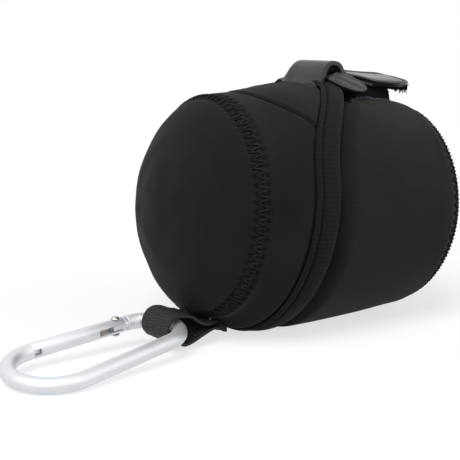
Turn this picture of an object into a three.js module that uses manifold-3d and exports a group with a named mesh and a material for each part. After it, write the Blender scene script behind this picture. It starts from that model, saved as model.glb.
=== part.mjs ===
// Neoprene lens pouch lying on its side, closed, with a spring carabiner on a webbing loop.
// Millimetres, +Z up. X runs along the pouch: the lid is at -X, the body at +X.
// The pouch is a cone that rests along its lowest line, so its axis is pitched by the cone's half angle.
import * as THREE from 'three';
import { mergeVertices } from 'three/addons/utils/BufferGeometryUtils.js';
import Module from 'manifold-3d';

const wasm = await Module();
wasm.setup();

const degree = Math.PI / 180;
const fullTurn = 2 * Math.PI;

// Body of the pouch
const bodyLength = 73;
const coneMouthRadius = 49.9;
const coneTaper = 6.9;
const neoprene = 3;
const endPanelRise = 13;
const seamDip = 1.4;
const seamDipReach = 2.6;
const restFlat = 0.7;

// Lid
const lidDepth = 18.5;
const lidTaper = 7.05;
const lidPanelRise = 20;
const lidDroop = 1.9;
const rimStep = 1.45;
const rimSet = 1;
const rimLean = 1.5;
const visorReach = 24;
const visorHalfAngle = 72 * degree;
const visorDrop = 0.7;

// Folded tape on the lid rim, and the tape on the body mouth
const bindingWidth = 10.2;
const bindingStep = 0.85;
const bindingLeg = 1.2;
const bindingInnerLeg = 0.8;
const bindingCrown = 0.25;
const rimWall = 2;
const stitchInset = 2.1;
const stitchDip = 0.75;
const bodyTuck = 0.5;
const mouthOverlap = 13;
const mouthVisor = 14;
const mouthTaper = 3;
const shoulderLength = 8;
const mouthTapeWidth = 7;
const mouthTape = 0.7;

// Threads
const zigzagWidth = 5.4;
const zigzagCount = 48;
const threadThickness = 0.45;
const stitchThickness = 0.4;

// Top panel of the lid, leatherette strap, tab and tongue
const gussetStart = -7.7;
const gussetThickness = 1;
const gussetHalfAngle = 48.5 * degree;
const gussetCornerDepth = 1.4;
const gussetBowShare = 0.24;
const strapStart = 9;
const strapWidth = 22;
const strapThickness = 1.6;
const archRise = 7.1;
const archFootSet = 1.2;
const tabLift = 1.4;
const tabReach = 38.3;
const tabCurl = 1.2;
const tabHoldLength = 20;
const tabRoll = 9.5 * degree;
const tabTwistLength = 16;
const hookStart = 7.7;
const hookEnd = 33.2;
const hookWidth = 18;
const hookThickness = 1.3;
const tabStitchInset = 2.2;
const tongueLength = 14.9;
const tongueOvalLength = 18;
const tongueWidth = 8.4;
const tongueShift = 0.55;
const tongueOut = 0.4;
const tongueLift = 0.1;
const tongueTurn = 63.4 * degree;
const tongueDip = 18.9 * degree;
const tongueRoll = 27 * degree;
const tongueThickness = 1.4;
const tongueRootLength = 7.5;

// Loop patch on the body, and the hinge tape under the joint
const patchStart = 2.6;
const patchLength = 22;
const patchWidth = 26;
const patchPile = 1.6;
const patchShift = 4.5;
const patchEndShift = 1.5;
const patchStitchHeight = 0.5;
const patchStitchWidth = 0.9;
const hingeTapeLength = 3.8;
const hingeTapeWidth = 30;
const hingeTapeThickness = 0.9;

// Carabiner: a round rod bent to a ring, with a sprung gate on its far side
const rodDiameter = 5.6;
const noseBendRadius = 15;
const eyeBendRadius = 12;
const bendSpacing = 39;
const ringYaw = 12.5 * degree;
const ringPitch = -4.9 * degree;
const ringRoll = 5.3 * degree;
const eyeOffset = new THREE.Vector3(-38.2, -12, 0);
const gateNoseFromEye = 47;
const gatePivotFromEye = 15.5;
const gateBore = 3.8;
const gateForkReach = 2.9;
const frameShoulderReach = 4.5;
const tongueSlot = 2.4;
const tonguePlate = 1.8;
const plateHeight = 4.2;
const noseTongueLength = 3.4;
const noseSlot = 2.2;
const nosePlate = 1.5;
const nosePinDiameter = 1.2;
const nosePinLength = 3;
const nosePocketLength = 2.4;
const rivetDiameter = 1.6;
const rivetHeadDiameter = 3.4;
const rivetHeadHeight = 0.7;
const springLength = 8;
const springWidth = 2;
const springThickness = 0.5;
const springSet = 4.5;

// Webbing loop that holds the carabiner
const webbingWidth = 14;
const webbingThickness = 1.2;
const webbingLoopReach = 20;
const bartackLength = 1.6;
const bartackInset = 2.4;

// Clearances and mesh fineness
const gap = 0.3;
const rodClearance = 2;
const overrun = 1;
const roundStations = 48;
const rodSides = 12;
const pinSides = 16;

// Sizes that follow from the ones above
const endSeamRadius = coneMouthRadius - coneTaper;
const bindingRadius = coneMouthRadius - bindingStep;
const rimRadius = bindingRadius - rimStep;
const lidSeamRadius = bindingRadius - lidTaper;
const pitch = Math.atan((coneMouthRadius - endSeamRadius) / bodyLength);
const axisHeight = coneMouthRadius * Math.cos(pitch) - restFlat;
const bindingDepth = bindingLeg + rimWall + bindingInnerLeg + 2 * gap;
const rodRadius = rodDiameter / 2;
const tapeTopRadius = bindingRadius - visorDrop + bindingCrown;
const visorEdge = visorReach + rimLean - rimSet;
const archStart = visorEdge - archFootSet;
const archEnd = visorEdge + bindingWidth - gap;
const ridgeHeight = tapeTopRadius + archRise;
const tabHeight = tapeTopRadius + tabLift;

const mix = (a, b, share) => a + (b - a) * share;
const ease = (share) => {
  const t = Math.min(1, Math.max(0, share));
  return t * t * (3 - 2 * t);
};

// Share of the visor at an angle from the top of the pouch: 1 at the top, 0 past its half angle
function visorShare(angle) {
  const turned = Math.abs(Math.atan2(Math.sin(angle), Math.cos(angle)));
  return turned < visorHalfAngle ? (1 + Math.cos((Math.PI * turned) / visorHalfAngle)) / 2 : 0;
}

const grooveX = (angle) => rimLean * Math.cos(angle) - rimSet + visorReach * visorShare(angle);
const tapeRadius = (angle) => bindingRadius - visorDrop * visorShare(angle);
const tapeEndX = (angle) => grooveX(angle) + bindingWidth;
const mouthX = (angle) => {
  const straight = rimLean * Math.cos(angle) - rimSet + bindingWidth - mouthOverlap;
  return straight + mouthVisor * visorShare(angle);
};
const seamSink = (distance) => seamDip * Math.exp(-((distance / seamDipReach) ** 2));

// Outer radius of the body: tucked in under the lid rim, then a shoulder, then the cone
function bodyRadius(x, angle) {
  const cone = mix(coneMouthRadius, endSeamRadius, x / bodyLength) - seamSink(bodyLength - x);
  const tucked = tapeRadius(angle) - bindingDepth - bodyTuck;
  const edge = tapeEndX(angle);
  if (x < edge) return tucked - (mouthTaper * (edge - x)) / (edge - mouthX(angle));
  return mix(tucked, cone, ease((x - edge) / shoulderLength));
}

// Outer radius of the lid between its seam and the groove beside the tape
function lidRadius(x, angle) {
  const flareStartShare = 0.3;
  const share = (x + lidDepth) / (grooveX(angle) + lidDepth);
  const rim = rimRadius - visorDrop * visorShare(angle);
  const flare = ease((share - flareStartShare) / (1 - flareStartShare));
  return mix(lidSeamRadius, rim, flare) - seamSink(x + lidDepth) / 2;
}

const droop = (x) => -lidDroop * (1 - ease((x + lidDepth) / (lidDepth - rimSet)));

// A point of the pouch from its place along the axis, its radius and its angle from the top
function around(x, radius, angle, drop = 0) {
  return new THREE.Vector3(x, -radius * Math.sin(angle), radius * Math.cos(angle) + drop);
}

// Lowest height in the pouch's own frame that stays on the surface it rests on
const floorAt = (x) => (x * Math.sin(pitch) - axisHeight) / Math.cos(pitch);

function settle(point) {
  point.z = Math.max(point.z, floorAt(point.x));
  return point;
}

// Outer radius of the body where it rests: flat underneath, and clear of the end seam's thread
function seatedRadius(x, angle) {
  const clear = bodyLength - x < zigzagWidth ? gap + threadThickness : 0;
  const limit = Math.cos(angle) < 0 ? (floorAt(x) + clear) / Math.cos(angle) : Infinity;
  return Math.min(bodyRadius(x, angle), limit);
}

// Closed geometry from points and triangles, with its faces turned outwards
function closedGeometry(points, triangles) {
  const geometry = new THREE.BufferGeometry();
  geometry.setAttribute('position', new THREE.Float32BufferAttribute(points.flatMap((p) => p.toArray()), 3));
  const cross = new THREE.Vector3();
  const volume = triangles.reduce((sum, [a, b, c]) => {
    return sum + points[a].dot(cross.crossVectors(points[b], points[c]));
  }, 0);
  const faces = volume > 0 ? triangles : triangles.map(([a, b, c]) => [a, c, b]);
  geometry.setIndex(faces.flat());
  return geometry;
}

const quad = (a, b, c, d) => [[a, b, c], [a, c, d]];

// Ring whose section, a closed loop of points, is given at each station of a closed round
function ringGeometry(stationCount, sectionAt) {
  const sections = Array.from({ length: stationCount }, (_, i) => sectionAt(i / stationCount));
  const sectionSize = sections[0].length;
  const triangles = [];
  for (let i = 0; i < stationCount; i += 1) {
    const next = (i + 1) % stationCount;
    for (let j = 0; j < sectionSize; j += 1) {
      const beside = (j + 1) % sectionSize;
      const here = i * sectionSize;
      const there = next * sectionSize;
      triangles.push(...quad(here + j, here + beside, there + beside, there + j));
    }
  }
  return closedGeometry(sections.flat(), triangles);
}

// Slab between a lower and an upper surface, each given over two shares from 0 to 1
function slabGeometry(columns, rows, lowerAt, upperAt) {
  const points = [];
  const index = (i, j, top) => (top ? (columns + 1) * (rows + 1) : 0) + i * (rows + 1) + j;
  for (const surface of [lowerAt, upperAt]) {
    for (let i = 0; i <= columns; i += 1) {
      for (let j = 0; j <= rows; j += 1) points.push(surface(i / columns, j / rows));
    }
  }
  const triangles = [];
  for (let i = 0; i < columns; i += 1) {
    for (let j = 0; j < rows; j += 1) {
      triangles.push(...quad(index(i, j, 1), index(i + 1, j, 1), index(i + 1, j + 1, 1), index(i, j + 1, 1)));
      triangles.push(...quad(index(i, j, 0), index(i, j + 1, 0), index(i + 1, j + 1, 0), index(i + 1, j, 0)));
    }
    triangles.push(...quad(index(i, 0, 0), index(i + 1, 0, 0), index(i + 1, 0, 1), index(i, 0, 1)));
    triangles.push(...quad(index(i + 1, rows, 0), index(i, rows, 0), index(i, rows, 1), index(i + 1, rows, 1)));
  }
  for (let j = 0; j < rows; j += 1) {
    triangles.push(...quad(index(0, j + 1, 0), index(0, j, 0), index(0, j, 1), index(0, j + 1, 1)));
    triangles.push(...quad(index(columns, j, 0), index(columns, j + 1, 0), index(columns, j + 1, 1), index(columns, j, 1)));
  }
  return closedGeometry(points, triangles);
}

// Ribbon along stations of x, z and half width: the stations lie on its lower face
function ribbonGeometry(stations, thickness, rows, sagAt = () => 0) {
  const normals = stations.map((_, i) => {
    const a = stations[Math.max(0, i - 1)];
    const b = stations[Math.min(stations.length - 1, i + 1)];
    return new THREE.Vector2(a.z - b.z, b.x - a.x).normalize();
  });
  const surface = (lift) => (u, v) => {
    const i = Math.round(u * (stations.length - 1));
    const { x, z, half } = stations[i];
    const y = mix(-half, half, v);
    return new THREE.Vector3(x + normals[i].x * lift, y, z + normals[i].y * lift - sagAt(x, y));
  };
  return slabGeometry(stations.length - 1, rows, surface(0), surface(thickness));
}

// Height of a round surface over a point beside its crest
function crestHeight(radiusAt, x, y) {
  let angle = 0;
  for (let i = 0; i < 5; i += 1) angle = Math.asin(Math.abs(y) / radiusAt(x, angle));
  return radiusAt(x, angle) * Math.cos(angle);
}

function merged(geometry) {
  const bare = geometry.clone();
  bare.deleteAttribute('normal');
  bare.deleteAttribute('uv');
  return mergeVertices(bare);
}

function solid(geometry) {
  const mesh = merged(geometry);
  return new wasm.Manifold(new wasm.Mesh({
    numProp: 3,
    vertProperties: new Float32Array(mesh.attributes.position.array),
    triVerts: new Uint32Array(mesh.index.array),
  }));
}

function fromSolid(body) {
  const mesh = body.getMesh();
  const geometry = new THREE.BufferGeometry();
  geometry.setAttribute('position', new THREE.BufferAttribute(mesh.vertProperties, 3));
  geometry.setIndex(new THREE.BufferAttribute(mesh.triVerts, 1));
  return geometry;
}

const finish = (color, roughness, metalness = 0) => new THREE.MeshStandardMaterial({ color, roughness, metalness });
const neopreneCloth = () => finish(0x262724, 0.92);
const bindingTape = () => finish(0x29292b, 0.8);
const blackThread = () => finish(0x1d1d1f, 0.75);
const leatherette = () => finish(0x2c2c2d, 0.42);
const hookTape = () => finish(0x151517, 0.95);
const polyesterWebbing = () => finish(0x202022, 0.82);
const anodisedAluminium = () => finish(0xdfe5ea, 0.34, 1);
const steelPin = () => finish(0xb9b6ae, 0.3, 1);

function part(name, geometry, material) {
  const mesh = new THREE.Mesh(geometry, material);
  mesh.name = name;
  return mesh;
}

// Wall of the body, from its mouth to the end seam
function bodyWall() {
  const coneShares = [0, 0.1, 0.22, 0.36, 0.5, 0.64, 0.8, 1];
  return ringGeometry(roundStations, (share) => {
    const angle = share * fullTurn;
    const edge = tapeEndX(angle);
    const end = bodyLength - gap / 2;
    const dipStart = bodyLength - 2 * seamDipReach;
    const places = [mouthX(angle), mix(mouthX(angle), edge, 1 / 2), edge];
    coneShares.slice(1).forEach((s) => places.push(mix(edge, edge + shoulderLength, s)));
    places.push(mix(edge + shoulderLength, dipStart, 1 / 2), dipStart, bodyLength - seamDipReach, end);
    const outer = places.map((x) => around(x, seatedRadius(x, angle), angle));
    const innerPlaces = [end, dipStart, edge + shoulderLength, edge, mouthX(angle)];
    const inner = innerPlaces.map((x) => around(x, bodyRadius(x, angle) - neoprene + seamSink(bodyLength - x), angle));
    return [...outer, ...inner];
  });
}

// Domed end panel: a cap of a sphere on its seam, with a wall of one cloth thickness
function endPanel(seamRadius, rise, dip, direction, seamX) {
  const sphere = (seamRadius ** 2 + rise ** 2) / (2 * rise);
  const heightOver = (r, ball) => Math.sqrt(Math.max(0, ball ** 2 - r ** 2)) - (sphere - rise);
  const outerShares = [0, 0.3, 0.55, 0.76, 0.91, 1];
  const innerShares = [1, 0.7, 0.38, 0];
  const innerEdge = Math.sqrt((sphere - neoprene) ** 2 - (sphere - rise) ** 2);
  const edge = seamRadius - dip;
  const outer = outerShares.map((s) => {
    const r = s * edge;
    const sunk = dip * Math.exp(-(((seamRadius - r) / seamDipReach) ** 2) / 2);
    return new THREE.Vector2(r, Math.max(0, heightOver(r, sphere) - sunk) * direction);
  });
  const inner = innerShares.map((s) => {
    return new THREE.Vector2(s * innerEdge, heightOver(s * innerEdge, sphere - neoprene) * direction);
  });
  outer[0].x = 0;
  inner[inner.length - 1].x = 0;
  outer[outer.length - 1].y = 0;
  inner[0].y = 0;
  const lathe = merged(new THREE.LatheGeometry([...outer, ...inner], roundStations));
  lathe.rotateZ(-Math.PI / 2);
  lathe.translate(seamX + (direction * gap) / 2, 0, 0);
  return lathe;
}

function outwards(geometry) {
  const position = geometry.attributes.position;
  const points = Array.from({ length: position.count }, (_, i) => new THREE.Vector3().fromBufferAttribute(position, i));
  const index = geometry.index.array;
  const triangles = [];
  for (let i = 0; i < index.length; i += 3) triangles.push([index[i], index[i + 1], index[i + 2]]);
  return closedGeometry(points, triangles.filter(([a, b, c]) => a !== b && b !== c && a !== c));
}

function settledGeometry(geometry) {
  const position = geometry.attributes.position;
  for (let i = 0; i < position.count; i += 1) {
    position.setZ(i, Math.max(position.getZ(i), floorAt(position.getX(i))));
  }
  return geometry;
}

const bodyEndPanel = () => settledGeometry(outwards(endPanel(endSeamRadius, endPanelRise, seamDip, 1, bodyLength)));

function lidEndPanel() {
  const geometry = outwards(endPanel(lidSeamRadius, lidPanelRise, seamDip / 2, -1, -lidDepth));
  return geometry.translate(0, 0, -lidDroop);
}

// Place beside an end seam: over the wall on one side of it, over the domed panel on the other
function seamPlace(seam, distance, angle) {
  const { x, radius, rise, direction, wallAt } = seam;
  if (distance < 0) return { x: x + direction * distance, r: wallAt(x + direction * distance, angle), lean: 0 };
  const sphere = (radius ** 2 + rise ** 2) / (2 * rise);
  const turn = Math.asin(radius / sphere) - distance / sphere;
  const lean = distance > 0 ? Math.PI / 2 - turn : (Math.PI / 2 - turn) / 2;
  const sink = distance > 0 ? 0 : radius - wallAt(x, angle);
  const over = sphere * Math.cos(turn) - (sphere - rise);
  return { x: x + direction * over, r: sphere * Math.sin(turn) - sink, lean: direction * lean };
}

// Zigzag thread over a seam: it crosses from one panel to the other and back
function zigzagThread(seam) {
  const placeShares = [-1, 0, 1, 0];
  const courseShares = [0, 1, 0, -1];
  const stationCount = zigzagCount * placeShares.length;
  return ringGeometry(stationCount, (share) => {
    const station = Math.round(share * stationCount) % placeShares.length;
    const angle = share * fullTurn;
    const distance = (placeShares[station] * zigzagWidth) / 2;
    const stepAcross = (courseShares[station] * zigzagWidth) / 2;
    const course = new THREE.Vector2(stepAcross, (fullTurn * seam.radius) / stationCount);
    course.setLength(threadThickness / 2);
    const corner = (side, lift) => {
      const place = seamPlace(seam, distance, angle);
      const slide = -side * course.y * seam.direction;
      const x = place.x + slide * Math.cos(place.lean) + (gap + lift) * Math.sin(place.lean);
      const r = place.r - slide * Math.sin(place.lean) + (gap + lift) * Math.cos(place.lean);
      return settle(around(x, r, angle + (side * course.x) / seam.radius, seam.dropAt(x)));
    };
    return [corner(-1, 0), corner(1, 0), corner(0, threadThickness)];
  });
}

const bodySeam = {
  x: bodyLength, radius: endSeamRadius, rise: endPanelRise, direction: 1, wallAt: seatedRadius, dropAt: () => 0,
};
const lidSeam = {
  x: -lidDepth, radius: lidSeamRadius, rise: lidPanelRise, direction: -1, wallAt: lidRadius, dropAt: droop,
};

// Tape folded over the body's mouth, hidden inside the closed lid
function bodyMouthBinding() {
  return ringGeometry(roundStations, (share) => {
    const angle = share * fullTurn;
    const start = mouthX(angle) - gap - mouthTape;
    const end = start + mouthTapeWidth;
    const outerAt = (x) => bodyRadius(Math.max(x, mouthX(angle)), angle) + gap;
    const innerAt = (x) => bodyRadius(Math.max(x, mouthX(angle)), angle) - neoprene - gap;
    const fold = start + mouthTape;
    const section = [
      [end, outerAt(end)], [end, outerAt(end) + mouthTape], [fold, outerAt(fold) + mouthTape],
      [start, outerAt(fold)], [start, innerAt(fold)], [fold, innerAt(fold) - mouthTape],
      [end, innerAt(end) - mouthTape], [end, innerAt(end)], [fold, innerAt(fold)], [fold, outerAt(fold)],
    ];
    return section.map(([x, r]) => around(x, r, angle));
  });
}

// Band of the lid: it flares from the seam to the rim and carries on under the tape
function lidBand() {
  const flareShares = [0.08, 0.3, 0.5, 0.68, 0.84, 1];
  return ringGeometry(roundStations, (share) => {
    const angle = share * fullTurn;
    const start = gap / 2 - lidDepth;
    const groove = grooveX(angle);
    const end = groove + bindingWidth - bindingLeg - gap;
    const wallTop = tapeRadius(angle) - bindingLeg - gap;
    const outer = [start, ...flareShares.map((s) => mix(-lidDepth, groove - gap, s))];
    const section = outer.map((x) => around(x, lidRadius(x, angle), angle, droop(x)));
    section.push(around(groove + gap, wallTop, angle), around(end, wallTop, angle));
    section.push(around(end, wallTop - rimWall, angle), around(groove - gap, wallTop - rimWall, angle));
    const innerPlaces = [mix(-lidDepth, groove, flareShares[2]), mix(-lidDepth, groove, flareShares[1]), start];
    innerPlaces.forEach((x) => section.push(around(x, lidRadius(x, angle) - neoprene, angle, droop(x))));
    return section;
  });
}

// Tape folded over the lid rim: a narrow margin, the sunk stitch line, then the wide crowned strip
function lidRimBinding() {
  return ringGeometry(roundStations, (share) => {
    const angle = share * fullTurn;
    const top = tapeRadius(angle);
    const low = top - bindingDepth;
    const cavityTop = top - bindingLeg;
    const cavityLow = low + bindingInnerLeg;
    const end = bindingWidth;
    const crownPlace = (stitchInset + bindingWidth) / 2;
    const section = [
      [0, top - bindingCrown], [stitchInset / 2, top], [stitchInset, top - stitchDip],
      [stitchInset + stitchInset / 2, top], [crownPlace, top + bindingCrown], [end - bindingLeg, top],
      [end, top - bindingLeg], [end, low + bindingInnerLeg], [end - bindingInnerLeg, low],
      [0, low], [0, cavityLow], [end - bindingLeg, cavityLow], [end - bindingLeg, cavityTop], [0, cavityTop],
    ];
    return section.map(([x, r]) => settle(around(grooveX(angle) + x, r, angle)));
  });
}

function lidRimStitch() {
  return ringGeometry(roundStations, (share) => {
    const angle = share * fullTurn;
    const x = grooveX(angle) + stitchInset;
    const low = tapeRadius(angle) - stitchDip + gap;
    const half = stitchThickness / 2;
    return [[x - half, low], [x + half, low], [x, low + stitchThickness]].map(([px, r]) => around(px, r, angle));
  });
}

// Panel let into the top of the lid under the strap: its leading edge sweeps back from the top to two corners
function gussetLead(angle) {
  const share = Math.abs(angle) / gussetHalfAngle;
  const corner = grooveX(gussetHalfAngle) - gussetCornerDepth;
  return mix(gussetStart, corner, share * (1 - gussetBowShare * (1 - share)));
}

function gussetPoint(x, angle, lift) {
  return around(x, lidRadius(x, angle) + lift, angle, droop(x));
}

function lidTopGusset() {
  const surface = (lift) => (u, v) => {
    const angle = mix(-gussetHalfAngle, gussetHalfAngle, v);
    return gussetPoint(mix(gussetLead(angle), grooveX(angle) - gap, u), angle, lift);
  };
  return slabGeometry(8, 16, surface(gap), surface(gap + gussetThickness));
}

function gussetStitch(side) {
  const start = gap / lidSeamRadius;
  const surface = (lift) => (u, v) => {
    const angle = side * mix(start, gussetHalfAngle, side > 0 ? v : 1 - v);
    return gussetPoint(gussetLead(angle) - gap - (1 - u) * stitchThickness, angle, lift);
  };
  return slabGeometry(1, 12, surface(gap), surface(gap + stitchThickness));
}

// Height of the strap's lower face where it is sewn down on the top panel
function strapSeat(x) {
  return lidRadius(x, 0) + droop(x) + 2 * gap + gussetThickness;
}

function strapSag(x, y) {
  const lying = 1 - ease((x - archStart) / archFootSet);
  return lying * (lidRadius(x, 0) - crestHeight(lidRadius, x, y));
}

// Strap: sewn down behind, then arched over the joint in an open loop
function strapLoop() {
  const half = strapWidth / 2;
  const seatShares = [0, 0.33, 0.66, 1];
  const seats = seatShares.map((s) => {
    const x = mix(strapStart, archStart, s);
    return { x, z: strapSeat(x), half };
  });
  const inner = ridgeHeight - strapThickness;
  const archShares = [[0.1, 0.36], [0.22, 0.7], [0.38, 0.93], [0.54, 1], [0.72, 0.94], [0.87, 0.72]];
  const arch = archShares.map(([along, up]) => {
    return { x: mix(archStart, archEnd, along), z: mix(strapSeat(archStart), inner, up), half };
  });
  arch.push({ x: archEnd, z: tabHeight, half });
  return ribbonGeometry([...seats, ...arch], strapThickness, 6, strapSag);
}

const tabStart = archEnd + strapThickness + gap;

// Stations of the closing tab: level at first, then curled up a little at its rounded end
function tabStations(fromX, toX, half, count, roundEnd) {
  return Array.from({ length: count }, (_, i) => {
    const share = i / (count - 1);
    const x = mix(fromX, toX, roundEnd ? Math.sin((share * Math.PI) / 2) : share);
    const bend = Math.max(0, (x - tabStart - tabHoldLength) / (tabReach - tabHoldLength));
    const past = Math.max(0, x - (toX - half));
    const tipShare = 0.25;
    const round = Math.sqrt(Math.max(tipShare ** 2, 1 - (past / half) ** 2));
    return { x, z: tabHeight + tabCurl * bend ** 2, half: roundEnd ? half * round : half };
  });
}

// The tab lies rolled over to the near side: how far a point of it is lowered
const tabSag = (x, y) => -y * Math.tan(tabRoll) * ease((x - tabStart) / tabTwistLength);

const closureTab = () => {
  const stations = tabStations(tabStart, tabStart + tabReach, strapWidth / 2, 16, true);
  return ribbonGeometry(stations, strapThickness, 6, tabSag);
};

function hookStrip() {
  const stations = tabStations(tabStart + hookStart, tabStart + hookEnd, hookWidth / 2, 9, false);
  stations.forEach((s) => { s.z -= gap + hookThickness; });
  return ribbonGeometry(stations, hookThickness, 4, tabSag);
}

function squareSection(size) {
  const half = size / 2;
  const shape = new THREE.Shape();
  shape.moveTo(-half, -half);
  shape.lineTo(half, -half);
  shape.lineTo(half, half);
  shape.lineTo(-half, half);
  shape.closePath();
  return shape;
}

// Stitch line that runs out along one side of the tab, round its end and back
function tabStitch() {
  const half = strapWidth / 2;
  const stations = tabStations(tabStart + gap, tabStart + tabReach - tabStitchInset, half - tabStitchInset, 14, true);
  const lift = strapThickness + gap + stitchThickness / 2;
  const side = (sign) => stations.map((s) => {
    const y = sign * s.half;
    return new THREE.Vector3(s.x, y, s.z + lift - tabSag(s.x, y));
  });
  const path = new THREE.CatmullRomCurve3([...side(-1), ...side(1).reverse()], false, 'centripetal');
  const geometry = new THREE.ExtrudeGeometry(squareSection(stitchThickness), {
    steps: 60, bevelEnabled: false, extrudePath: path,
  });
  return outwards(merged(geometry));
}

// Pull tongue: its root is sewn under the arch, and its oval leaf hangs out at the near side
const tongueBase = tapeTopRadius + gap;
const tongueStart = new THREE.Vector3(
  (archStart + archEnd) / 2 + tongueShift, -strapWidth / 2 - tongueOut, tongueBase + tongueLift);
const tongueCourse = new THREE.Vector3(
  Math.cos(tongueDip) * Math.cos(tongueTurn), -Math.cos(tongueDip) * Math.sin(tongueTurn), -Math.sin(tongueDip));
const tongueLevel = new THREE.Vector3(Math.sin(tongueTurn), Math.cos(tongueTurn), 0);
const tongueFace = tongueCourse.clone().cross(tongueLevel);
const tongueAcross = tongueLevel.clone().multiplyScalar(Math.cos(tongueRoll))
  .addScaledVector(tongueFace, Math.sin(tongueRoll));

function tongueHalf(u) {
  const middle = tongueLength - tongueOvalLength / 2;
  const bluntShare = 0.08;
  const away = (u * tongueLength - middle) / (tongueOvalLength / 2);
  return (tongueWidth / 2) * Math.sqrt(Math.max(bluntShare, 1 - away ** 2));
}

function pullTongueRoot() {
  const half = tongueHalf(0);
  const inner = new THREE.Vector3((archStart + archEnd) / 2, tongueStart.y + tongueRootLength, tongueBase);
  const outer = tongueStart.clone().addScaledVector(tongueCourse, -gap);
  const straight = new THREE.Vector3(1, 0, 0);
  const point = (lift) => (u, v) => {
    const offset = mix(-half, half, v);
    const place = inner.clone().addScaledVector(straight, offset);
    place.lerp(outer.clone().addScaledVector(tongueAcross, offset), u);
    return place.add(new THREE.Vector3(0, 0, lift));
  };
  return slabGeometry(3, 1, point(0), point(tongueThickness));
}

function pullTongue() {
  const point = (lift) => (u, v) => {
    const offset = mix(-tongueHalf(u), tongueHalf(u), v);
    const place = tongueStart.clone().addScaledVector(tongueCourse, u * tongueLength);
    return place.addScaledVector(tongueAcross, offset).add(new THREE.Vector3(0, 0, lift));
  };
  return slabGeometry(14, 2, point(0), point(tongueThickness));
}

// Piled patch sewn on the top of the body
const patchMiddle = (u) => -mix(patchShift, patchEndShift, u);

function bodyTopSlab(startX, endX, width, low, high, columns, rows) {
  const surface = (lift) => (u, v) => {
    const x = mix(startX, endX, u);
    const y = patchMiddle(u) + mix(-width / 2, width / 2, v);
    return new THREE.Vector3(x, y, crestHeight(bodyRadius, x, y) + lift);
  };
  return slabGeometry(columns, rows, surface(low), surface(high));
}

const patchX = visorEdge + bindingWidth + patchStart;

const loopPatch = () => {
  return bodyTopSlab(patchX, patchX + patchLength, patchWidth, gap, gap + patchPile, 16, 8);
};

function loopPatchStitch(side) {
  const surface = (lift) => (u, v) => {
    const x = mix(patchX, patchX + patchLength, u);
    const y = patchMiddle(u) + side * (patchWidth / 2 + gap + v * patchStitchWidth);
    return new THREE.Vector3(x, y, crestHeight(bodyRadius, x, y) + lift);
  };
  return slabGeometry(16, 1, surface(gap), surface(gap + patchStitchHeight));
}

// Tape in the valley under the joint, from the lid rim's lowest edge on to the body
function hingeTape() {
  const startX = tapeEndX(Math.PI) + gap;
  const surface = (lift) => (u, v) => {
    const x = mix(startX, startX + hingeTapeLength, u);
    const angle = Math.PI + (mix(-hingeTapeWidth, hingeTapeWidth, v) / 2) / endSeamRadius;
    return settle(around(x, bodyRadius(x, angle) + lift, angle));
  };
  return slabGeometry(10, 8, surface(gap), surface(gap + hingeTapeThickness));
}

// Centre line of the ring in its own plane: x along it, y across it, the eye at +X
const bendLean = Math.asin((noseBendRadius - eyeBendRadius) / bendSpacing);
const eyeReach = bendSpacing / 2 + eyeBendRadius;
const limbAt = (x) => {
  const share = (x + bendSpacing / 2) / bendSpacing;
  return mix(noseBendRadius, eyeBendRadius, share) / Math.cos(bendLean);
};
const gatePivotX = eyeReach - gatePivotFromEye;
const gateNoseX = eyeReach - gateNoseFromEye;

function ringPath() {
  const points = [];
  const arc = (cx, radius, from, to, count) => {
    for (let i = 0; i <= count; i += 1) {
      const a = mix(from, to, i / count);
      points.push(new THREE.Vector3(cx + radius * Math.cos(a), radius * Math.sin(a), 0));
    }
  };
  const quarter = Math.PI / 2;
  points.push(new THREE.Vector3(gateNoseX - gap, limbAt(gateNoseX - gap), 0));
  arc(-bendSpacing / 2, noseBendRadius, quarter - bendLean, 3 * quarter + bendLean, 14);
  arc(bendSpacing / 2, eyeBendRadius, -quarter + bendLean, quarter - bendLean, 12);
  const shoulder = gatePivotX + frameShoulderReach;
  if (shoulder < bendSpacing / 2) points.push(new THREE.Vector3(shoulder, limbAt(shoulder), 0));
  return new THREE.CatmullRomCurve3(points, false, 'centripetal');
}

function circleSection(radius, sides) {
  const points = Array.from({ length: sides }, (_, i) => {
    const a = ((i + 1 / 2) / sides) * fullTurn;
    return new THREE.Vector2(radius * Math.cos(a), radius * Math.sin(a));
  });
  return new THREE.Shape(points);
}

function boxSolid(x0, x1, y0, y1, z0, z1) {
  const box = new THREE.BoxGeometry(x1 - x0, y1 - y0, z1 - z0);
  return solid(box.translate((x0 + x1) / 2, (y0 + y1) / 2, (z0 + z1) / 2));
}

function pinSolid(diameter, length, x, y) {
  const cylinder = new THREE.CylinderGeometry(diameter / 2, diameter / 2, length, pinSides);
  return solid(cylinder.rotateX(Math.PI / 2).translate(x, y, 0));
}

// Ring of the carabiner with a flat tongue at its nose and one at its hinge
function carabinerFrame() {
  const rod = new THREE.ExtrudeGeometry(circleSection(rodRadius, rodSides), {
    steps: 64, bevelEnabled: false, extrudePath: ringPath(),
  });
  const pivotY = limbAt(gatePivotX);
  const noseY = limbAt(gateNoseX);
  const half = plateHeight / 2;
  const hingePlate = boxSolid(gatePivotX - half, gatePivotX + frameShoulderReach + overrun,
    pivotY - half, pivotY + half, -tonguePlate / 2, tonguePlate / 2);
  const nosePlateHalf = plateHeight / 3;
  const nose = boxSolid(gateNoseX - overrun, gateNoseX + noseTongueLength,
    noseY - nosePlateHalf, noseY + nosePlateHalf, -nosePlate / 2, nosePlate / 2);
  const pinHole = pinSolid(nosePinDiameter + gap, plateHeight, nosePinX, limbAt(nosePinX));
  const rivetHole = pinSolid(rivetDiameter + gap, plateHeight, gatePivotX, pivotY);
  return fromSolid(solid(rod).add(hingePlate).add(nose).subtract(rivetHole).subtract(pinHole));
}

const nosePinX = gateNoseX + noseTongueLength - nosePinDiameter;

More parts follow.
